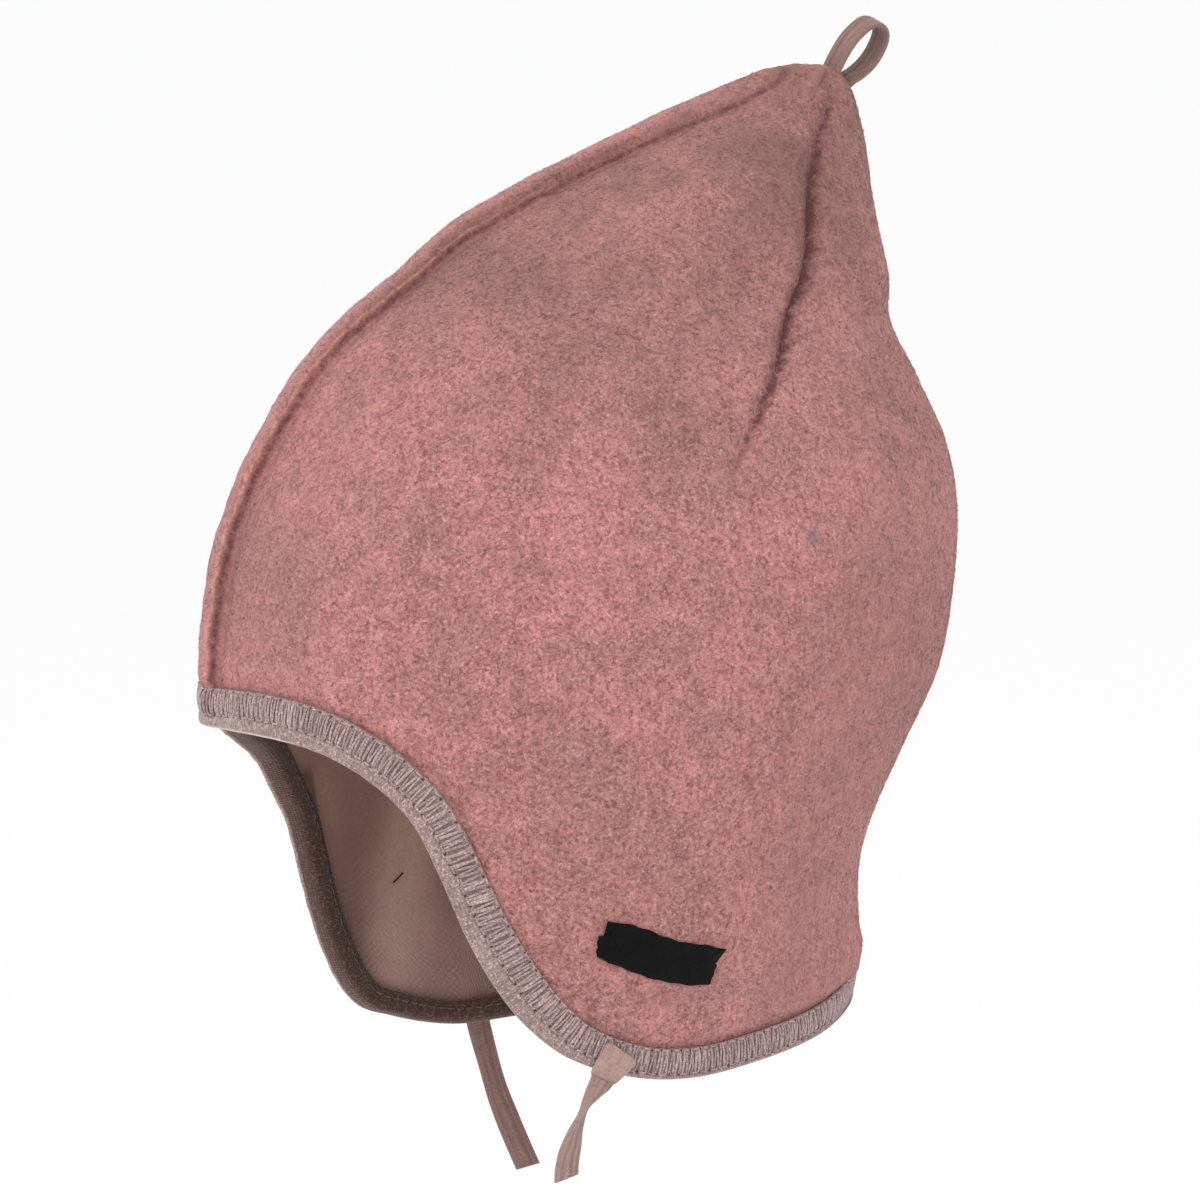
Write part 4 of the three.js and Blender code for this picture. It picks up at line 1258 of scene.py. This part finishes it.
def make_lining(settings):
    """The jersey lining in soft folds, with the short dark lint that lies on it."""
    columns = Columns(foot=3, before=66, dart=8, after=38)
    rings, angle, shade = cup(columns, [
        (TOPS["lining_inside"], 110, lining_face(LINING_INSIDE)),
        (TOPS["lining_outside"], 40, lining_face(LINING_OUTSIDE))])
    turned = wrap(angle)
    # fold paints shade into the valleys of the lining's folds and highlights on their crests.
    fold = 0.5 + 0.34 * np.sin(12 * turned) + 0.24 * np.sin(19 * turned + rings[..., 2] / 14)
    piece = skin("jersey_lining", rings, jersey_material(settings),
                 {"shade": shade, "fold": fold})
    put(piece, "jersey_lining", "lining")
    share = np.linspace(0, 1, STITCH_RINGS)
    angle, level = (lerp(*LINT_ENDS[name], share) for name in ("angle", "level"))
    angle = np.radians(angle)
    stand = LINING_INSIDE + lining_folds(angle, level) + 0.15 + 0.15 * np.sin(np.pi * share)
    path = shell_point(angle, level, stand)[None]
    above = shell_point(angle, level, stand + 1)[None]
    wide, high = (np.full((1, STITCH_RINGS), half)
                  for half in (LINT_HALF_WIDTH, LINT_HALF_THICKNESS))
    lint = plain_material("Dark Lint", linear(LINT), 0.8)
    sew("lining_lint", "jersey_lining", lint, path, above, wide, high)


def edge_run(count):
    """Angles evenly spaced along the cloth's edge, all the way round, and its length."""
    fine = np.linspace(-np.pi, np.pi, 6001)
    run = run_of(near_edge(fine, 0 * fine + 2.0, 0 * fine))
    wanted = np.arange(count) / count * run[-1]
    return np.interp(wanted, run, fine), run[-1]


def low_line(angle):
    """Height above the edge of the binding's lower needle line."""
    return np.maximum(edge_value(angle, "cover") - 0.35 - LADDER_WIDTH, 0.1)


def brow_bulge(angle, share):
    """How far the binding stands out where it runs over the welt's foot. share is 0 at its
    fold and 1 at its upper rim."""
    stand = 0.4 + 0.25 * share + 1.3 * share * (1 - share)
    return 2.3 * hill(np.degrees(wrap(angle)), 0, 3.6) * stand


def make_binding(settings):
    """The binding: its section carried right round the edge. It is a little uneven along its
    run, as a sewn strip is, and pale for a short way under the left of the brow."""
    angle, perimeter = edge_run(1080)
    profile = {name: values[None, :] for name, values in BINDING_SECTION.items()}
    cover, low = edge_value(angle, "cover")[:, None], low_line(angle)[:, None]
    distance = profile["cover"] * cover + profile["low"] * low + profile["rise"]
    run = (np.arange(len(angle)) / len(angle))[:, None]
    uneven = 0.07 * np.sin(run * 2 * np.pi * 61) + 0.06 * np.sin(run * 2 * np.pi * 97 + 1)
    outer = ease(0.2, -0.9, profile["inset"])
    lift = brow_bulge(angle[:, None], profile["cover"]) - draw_in(angle)[:, None]
    lift = lift - tuck(angle[:, None], 1 - profile["cover"])
    inset = profile["inset"] - (uneven + lift) * outer
    turned = np.broadcast_to(angle[:, None], distance.shape)
    rings = near_edge(turned, distance, inset + 0 * distance)
    step = np.linalg.norm(np.diff(rings, axis=1, append=rings[:, :1]), axis=2)
    height = -np.append(0 * step[:, :1], step.cumsum(1), axis=1)
    height = height - height[:, NEEDLE_LINE_INDEX : NEEDLE_LINE_INDEX + 1]
    around = 0.5 + np.append(height, height[:1], axis=0) / BINDING_UV_SPAN
    brow = np.degrees(angle)[:, None]
    pale = ease(-1, 3, brow) * ease(30, 22, brow) * ease(-0.72, -1.0, profile["rise"])
    pale = pale * (profile["inset"] < 2.5) * (profile["cover"] == 0) * (profile["low"] == 0)
    masks = {"pale": pale, "inner": ease(-0.7, 0.9, profile["inset"])}
    piece = skin("edge_band", rings, binding_material(settings, perimeter), masks,
                 closed=True, around=around)
    put(piece, "binding", "edge_binding")


def stitch_paths(angle, start, end, slide, lift):
    """Paths of stitches near the edge, and the same places a millimetre further off the cloth.
    Each goes from one distance and slide along the edge to another, and arches by lift."""
    place = np.linspace(0, 1, STITCH_RINGS)[None, :]
    distance = lerp(start[:, None], end[:, None], place)
    ahead = lerp(slide[0][:, None], slide[1][:, None], place)
    step = 0.004
    speed = np.linalg.norm(near_edge(angle + step, start, 0 * angle)
                           - near_edge(angle - step, start, 0 * angle), axis=1) / (2 * step)
    turned = angle[:, None] + ahead / speed[:, None]
    arch = lift[0] + (lift[1] - lift[0]) * np.sin(np.pi * place) ** 0.5
    if lift[0] > 0:
        height = distance / edge_value(angle, "cover")[:, None]
        arch = arch + brow_bulge(angle[:, None], np.clip(height, 0, 1))
        arch = arch - draw_in(angle)[:, None] - tuck(angle[:, None], 1 - height)
    return near_edge(turned, distance, -arch + 0 * distance), near_edge(
        turned, distance, -arch - 1.0 + 0 * distance)


def make_cover_stitches(settings):
    """The cover stitch: a ladder of threads across the strip, and needle stitches in lines
    along its two sides and on the inner leaf."""
    thread = thread_material("Binding Thread", settings.thread_colour, settings.thread_dark_and_gap_shade)
    dull = thread_material("Inner Thread", INNER_THREAD, INNER_THREAD_DARK)
    rng = np.random.default_rng(STITCH_SEED)
    _, perimeter = edge_run(10)
    count = int(perimeter / settings.ladder_pitch)
    angle, _ = edge_run(count)
    low, cover = low_line(angle), edge_value(angle, "cover")
    slant = np.where(np.arange(count) % 2 == 0, 0.24, -0.18) + 0.3 * (rng.random(count) - 0.5)
    angle = angle + 0.004 * (rng.random(count) - 0.5)
    drop = 0.45 * rng.random(count)
    path, above = stitch_paths(angle, low + 0.1 - drop, cover - 0.55 + drop,
                               (-slant, slant), (1.12, 1.5))
    wide = COVER_THREAD * (0.75 + 0.5 * rng.random((count, 1)))
    sew("cover_ladder", "binding", thread, path, above, wide, wide * COVER_FLATNESS,
        rng.random(count))
    count = round(perimeter / settings.stitch_length)
    angle, _ = edge_run(count)
    half = settings.stitch_length * 0.37
    for name, height, lift, material in (
        ("needle_line_low", low_line(angle), (1.0, 1.36), thread),
        ("needle_line_high", edge_value(angle, "cover") - 0.3, (0.95, 1.4), thread),
        ("needle_line_inside", 0 * angle + 2.2, (-4.95, -5.2), dull),
    ):
        jitter = 0.1 * (rng.random(count) - 0.5)
        path, above = stitch_paths(angle, height + jitter, height - jitter,
                                   (0 * angle - half, 0 * angle + half), lift)
        if name == "needle_line_inside":
            above = 2 * path - above
        wide = NEEDLE_THREAD + 0 * jitter[:, None]
        sew(name, "binding", material, path, above, wide, wide * NEEDLE_FLATNESS,
            0.3 + 0.7 * rng.random(count))


def tape_rings(path, across, width, thick, slant=0.0):
    """A flat tape folded from jersey, along a path. The section is a rounded oblong with
    lengthwise folds pressed into each face. Its width and thickness may change along the path,
    and slant is how far the last cut runs on at one side."""
    run = unit(np.gradient(path, axis=0))
    wide = unit(across - run * (across * run).sum(1, keepdims=True))
    face = np.cross(run, wide)
    turn = np.arange(TAPE_POINTS) / TAPE_POINTS * 2 * np.pi
    x = np.sign(np.cos(turn)) * np.abs(np.cos(turn)) ** 0.5
    y = np.sign(np.sin(turn)) * np.abs(np.sin(turn)) ** 0.4
    fold = hill(x, 0.34, 0.07) + 0.8 * hill(x, -0.45, 0.07) + 0.5 * hill(x, 0.72, 0.05)
    y = y * (1 - 0.28 * fold)
    width, thick = (np.broadcast_to(size, len(path))[:, None, None] for size in (width, thick))
    rings = path[:, None] + wide[:, None] * x[:, None] * width / 2
    rings = rings + face[:, None] * y[:, None] * thick / 2
    last = ease(len(path) * 0.8, len(path) - 1, np.arange(len(path)))[:, None, None]
    rings = rings + run[:, None] * (x * slant)[:, None] * last
    # The second value marks the pressed folds, where the tape's material paints shade.
    return rings, np.clip(fold * (np.abs(y) > 0.2), 0, 1)


def make_ties(settings):
    """The two ties. Each hangs from the outside of the binding, turned about its own run. It
    is sewn down there as a wider, thicker tab with a crease across it at the binding's fold,
    where shade is painted."""
    for name, rows, slant, fold_row in (("left", LEFT_TIE, -0.55, 2.35),
                                        ("right", RIGHT_TIE, 0.3, 2.4)):
        line = through(rows, 120)
        path = np.stack([line["x"], line["y"], line["z"]], 1)
        run = unit(np.gradient(path, axis=0))
        wide = unit(np.cross([1.0, 0, 0], run))
        turn = np.radians(line["turn"])[:, None]
        across = wide * np.cos(turn) + np.cross(run, wide) * np.sin(turn)
        row = np.linspace(0, len(rows["z"]) - 1, 120)
        tab = ease(fold_row + 0.25, fold_row - 0.05, row)
        width = 1 + 0.16 * tab + 0.3 * tab * ease(fold_row, 0, row)
        width = TIE["width"] * (width - 0.1 * hill(row, fold_row + 2.0, 1.0))
        width = width * np.sqrt(np.clip(row / 0.15, 0.7, 1))
        thick = TIE["thick"] * (0.9 + 0.4 * tab)
        rings, crease = tape_rings(path, across, width, thick, slant=slant)
        plain = np.clip(tab, 0, 1)[:, None]
        # The crease mask is painted shade: in the folds and in a line across the tab.
        crease = np.maximum(crease * (1 - plain), 0.9 * hill(row, fold_row + 0.1, 0.09)[:, None])
        length = run_of(path)[-1]
        # The right tie is painted darker, as shade on the far side.
        colour = settings.near_tape if name == "left" else settings.far_tie_shaded_colour
        material = tape_material(settings, f"Tie Tape {name.title()}", colour, length)
        piece = skin(f"tie_{name}", rings, material, {"crease": crease, "plain": plain})
        put(piece, "tape", f"{name}_tie")


def make_loop(settings):
    """The tape loop on the point, with its two ends side by side in the seam."""
    line = through(LOOP_PATH, 90)
    path = LOOP["foot"] + line["rise"][:, None] * LOOP_AXIS + line["out"][:, None] * LOOP_ACROSS
    across = np.broadcast_to(np.cross(LOOP_AXIS, LOOP_ACROSS), path.shape)
    rings, crease = tape_rings(path, across, LOOP["width"], LOOP["thick"])
    material = tape_material(settings, "Loop Tape", settings.loop_colour, length=45)
    piece = skin("tape_loop", rings, material, {"crease": crease, "plain": 0.0})
    put(piece, "tape", "hanging_loop")


def label_flat(angle, level):
    """A place on the shell as along and up in the label's own plane."""
    tilt = LABEL["tilt"]
    turn = (wrap(angle) - np.radians(LABEL["angle"])) * half_length(LABEL["level"])
    rise = level - LABEL["level"]
    return turn * np.cos(tilt) + rise * np.sin(tilt), rise * np.cos(tilt) - turn * np.sin(tilt)


def make_label(settings):
    """The label: a slab with rounded rims, laid round the shell, its lower and upper halves
    stepped against each other at both ends."""
    line = {name: values[:, None] for name, values in through(LABEL_STATIONS, 80).items()}
    share = np.linspace(0, 1, 9)[None, :]
    shares = (share[:, :-1], share[:, ::2][:, :-1], share)
    x, y = (np.concatenate([lerp(*ends, part) + 0 * line["topX"]
                            for *ends, part in zip(levels, levels[1:], shares)], 1)
            for levels in ([line[key] for key in ("bottomX", "lowX", "highX", "topX")],
                           [line["bottomY"], LABEL["low"], LABEL["high"], line["topY"]]))
    count = x.shape[1]
    place = np.arange(count) / (count - 1)
    station = np.linspace(0, 1, len(x))[:, None]
    x = x + 0.2 * np.sin(y * 3.3 + 0.8) * (ease(0.05, 0, station) + 0.6 * ease(0.95, 1, station))
    y = y + 0.1 * np.sin(x * 1.3) * np.abs(2 * place - 1) ** 6
    rim = np.minimum(np.minimum(place, 1 - place) * LABEL["height"],
                     np.minimum(station, 1 - station) * LABEL["length"])
    crown = np.sqrt(np.clip(1 - (1 - np.clip(rim / LABEL["round"], 0, 1)) ** 2, 0, 1))
    bow = 0.2 * swell(np.stack([x, y, 0 * x], -1), 1.9)
    over = -0.25 - LABEL["thick"] * (0.45 + 0.55 * crown) - bow * crown
    tilt = LABEL["tilt"]
    turn = (x * np.cos(tilt) - y * np.sin(tilt)) / half_length(LABEL["level"])
    rise = x * np.sin(tilt) + y * np.cos(tilt)
    angle, level = np.radians(LABEL["angle"]) + turn, LABEL["level"] + rise
    under = shell_point(angle, level, 0 * x - 0.2)
    top = shell_point(angle, level, over)
    rings = np.concatenate([under, top[:, ::-1]], 1)
    pale_rim = ease(0.5, 0.1, rim)
    masks = {"pale_rim": np.concatenate([pale_rim, pale_rim[:, ::-1]], 1)}
    piece = skin("leather_label", rings, leather_material(settings), masks)
    put(piece, "label", "label")


# Stage.


def aim(place, target):
    """The matrix of a camera or light at a place that looks at a target, upright."""
    back = (Vector(place) - Vector(target)).normalized()
    right = Vector((0, 0, 1)).cross(back).normalized()
    up = back.cross(right)
    turn = Matrix((right, up, back)).transposed().to_4x4()
    return Matrix.Translation(place) @ turn


TARGET = Vector((0.0039, 0.00969, -0.06304))
FLOOR_HALF = 200.0


def from_middle(azimuth, elevation, distance):
    """A place seen from the bonnet's middle at an azimuth round from the front."""
    level = np.cos(elevation)
    back = Vector((np.sin(azimuth) * level, -np.cos(azimuth) * level, np.sin(elevation)))
    return TARGET + back * distance


def make_stage(settings):
    """The camera at the photograph's angle, a pale floor and plain soft light."""
    scene = bpy.context.scene
    scene.view_settings.view_transform = "Standard"
    camera = bpy.data.cameras.new("Camera")
    camera.sensor_width = 36.0
    camera.lens = 270.0
    camera.clip_end = 1000.0
    eye = bpy.data.objects.new("Camera", camera)
    eye.matrix_world = aim(
        from_middle(settings.azimuth, settings.elevation, settings.distance), TARGET)
    scene.collection.objects.link(eye)
    scene.camera = eye
    world = bpy.data.worlds.new("Studio")
    world.use_nodes = True
    background = world.node_tree.nodes["Background"].inputs
    background["Color"].default_value = (1, 1, 1, 1)
    background["Strength"].default_value = settings.ambient
    scene.world = world
    for name, power, size, azimuth, elevation, distance in (
        ("Key", settings.key_power, 1.2, 40, 32, 1.7),
        ("Fill", settings.fill_power, 1.6, 110, 55, 1.9),
    ):
        lamp = bpy.data.lights.new(name, "AREA")
        lamp.shape = "DISK"
        lamp.size = size
        lamp.energy = power
        light = bpy.data.objects.new(name, lamp)
        light.matrix_world = aim(
            from_middle(np.radians(azimuth), np.radians(elevation), distance), TARGET)
        scene.collection.objects.link(light)
    mesh = bpy.data.meshes.new("floor")
    mesh.from_pydata([(x * FLOOR_HALF, y * FLOOR_HALF, settings.floor_height)
                      for x, y in ((-1, -1), (1, -1), (1, 1), (-1, 1))], [], [(0, 1, 2, 3)])
    mesh.materials.append(plain_material("Floor", FLOOR_WHITE, 0.9, 0.1))
    floor = bpy.data.objects.new("floor", mesh)
    scene.collection.objects.link(floor)


# Operators and panel.


class BONNET_OT_stage(bpy.types.Operator):
    """Make the camera, the floor and the light"""

    bl_idname = "bonnet.stage"
    bl_label = "Stage"

    def execute(self, context):
        make_stage(context.scene.bonnet_stage)
        return {"FINISHED"}


class BONNET_OT_ties(bpy.types.Operator):
    """Make the two tape ties"""

    bl_idname = "bonnet.ties"
    bl_label = "Ties"

    def execute(self, context):
        make_ties(context.scene.bonnet_trim)
        return {"FINISHED"}


class BONNET_OT_shell(bpy.types.Operator):
    """Make the fleece shell and its raised front seam"""

    bl_idname = "bonnet.shell"
    bl_label = "Shell and Front Seam"

    def execute(self, context):
        make_shell(context.scene.bonnet_cloth)
        make_welt()
        return {"FINISHED"}


class BONNET_OT_lining(bpy.types.Operator):
    """Make the jersey lining"""

    bl_idname = "bonnet.lining"
    bl_label = "Lining"

    def execute(self, context):
        make_lining(context.scene.bonnet_cloth)
        return {"FINISHED"}


class BONNET_OT_binding(bpy.types.Operator):
    """Make the edge binding and its stitches"""

    bl_idname = "bonnet.binding"
    bl_label = "Binding"

    def execute(self, context):
        make_binding(context.scene.bonnet_trim)
        make_cover_stitches(context.scene.bonnet_trim)
        return {"FINISHED"}


class BONNET_OT_trim(bpy.types.Operator):
    """Make the hanging loop and the label"""

    bl_idname = "bonnet.trim"
    bl_label = "Loop and Label"

    def execute(self, context):
        make_loop(context.scene.bonnet_trim)
        make_label(context.scene.bonnet_trim)
        return {"FINISHED"}


class BONNET_OT_pile(bpy.types.Operator):
    """Make the loose wool fibres of the fleece"""

    bl_idname = "bonnet.pile"
    bl_label = "Wool Pile"

    def execute(self, context):
        make_pile(context.scene.bonnet_cloth)
        return {"FINISHED"}


class BONNET_PT_panel(bpy.types.Panel):
    """Lists the bonnet's pieces and their settings"""

    bl_idname = "BONNET_PT_panel"
    bl_label = "Pixie Bonnet"
    bl_space_type = "VIEW_3D"
    bl_region_type = "UI"
    bl_category = "Bonnet"

    def draw(self, context):
        layout = self.layout
        for operator in OPERATORS:
            layout.operator(operator.bl_idname)
        for group in (context.scene.bonnet_cloth, context.scene.bonnet_trim,
                      context.scene.bonnet_stage):
            box = layout.box()
            for key in group.bl_rna.properties.keys():
                if key not in ("rna_type", "name"):
                    box.prop(group, key)


GROUPS = {
    "bonnet_cloth": BonnetClothSettings,
    "bonnet_trim": BonnetTrimSettings,
    "bonnet_stage": BonnetStageSettings,
}
OPERATORS = (BONNET_OT_stage, BONNET_OT_ties, BONNET_OT_shell, BONNET_OT_lining,
             BONNET_OT_binding, BONNET_OT_trim, BONNET_OT_pile)


def register():
    for name, group in GROUPS.items():
        bpy.utils.register_class(group)
        setattr(bpy.types.Scene, name, bpy.props.PointerProperty(type=group))
    for item in (*OPERATORS, BONNET_PT_panel):
        bpy.utils.register_class(item)


def unregister():
    for item in reversed((*OPERATORS, BONNET_PT_panel)):
        bpy.utils.unregister_class(item)
    for name, group in reversed(list(GROUPS.items())):
        delattr(bpy.types.Scene, name)
        bpy.utils.unregister_class(group)


def main():
    """Makes the stage and every piece, cords first."""
    register()
    bpy.ops.bonnet.stage()
    bpy.ops.bonnet.ties()
    bpy.ops.bonnet.shell()
    bpy.ops.bonnet.lining()
    bpy.ops.bonnet.binding()
    bpy.ops.bonnet.trim()
    bpy.ops.bonnet.pile()


if __name__ == "__main__":
    main()
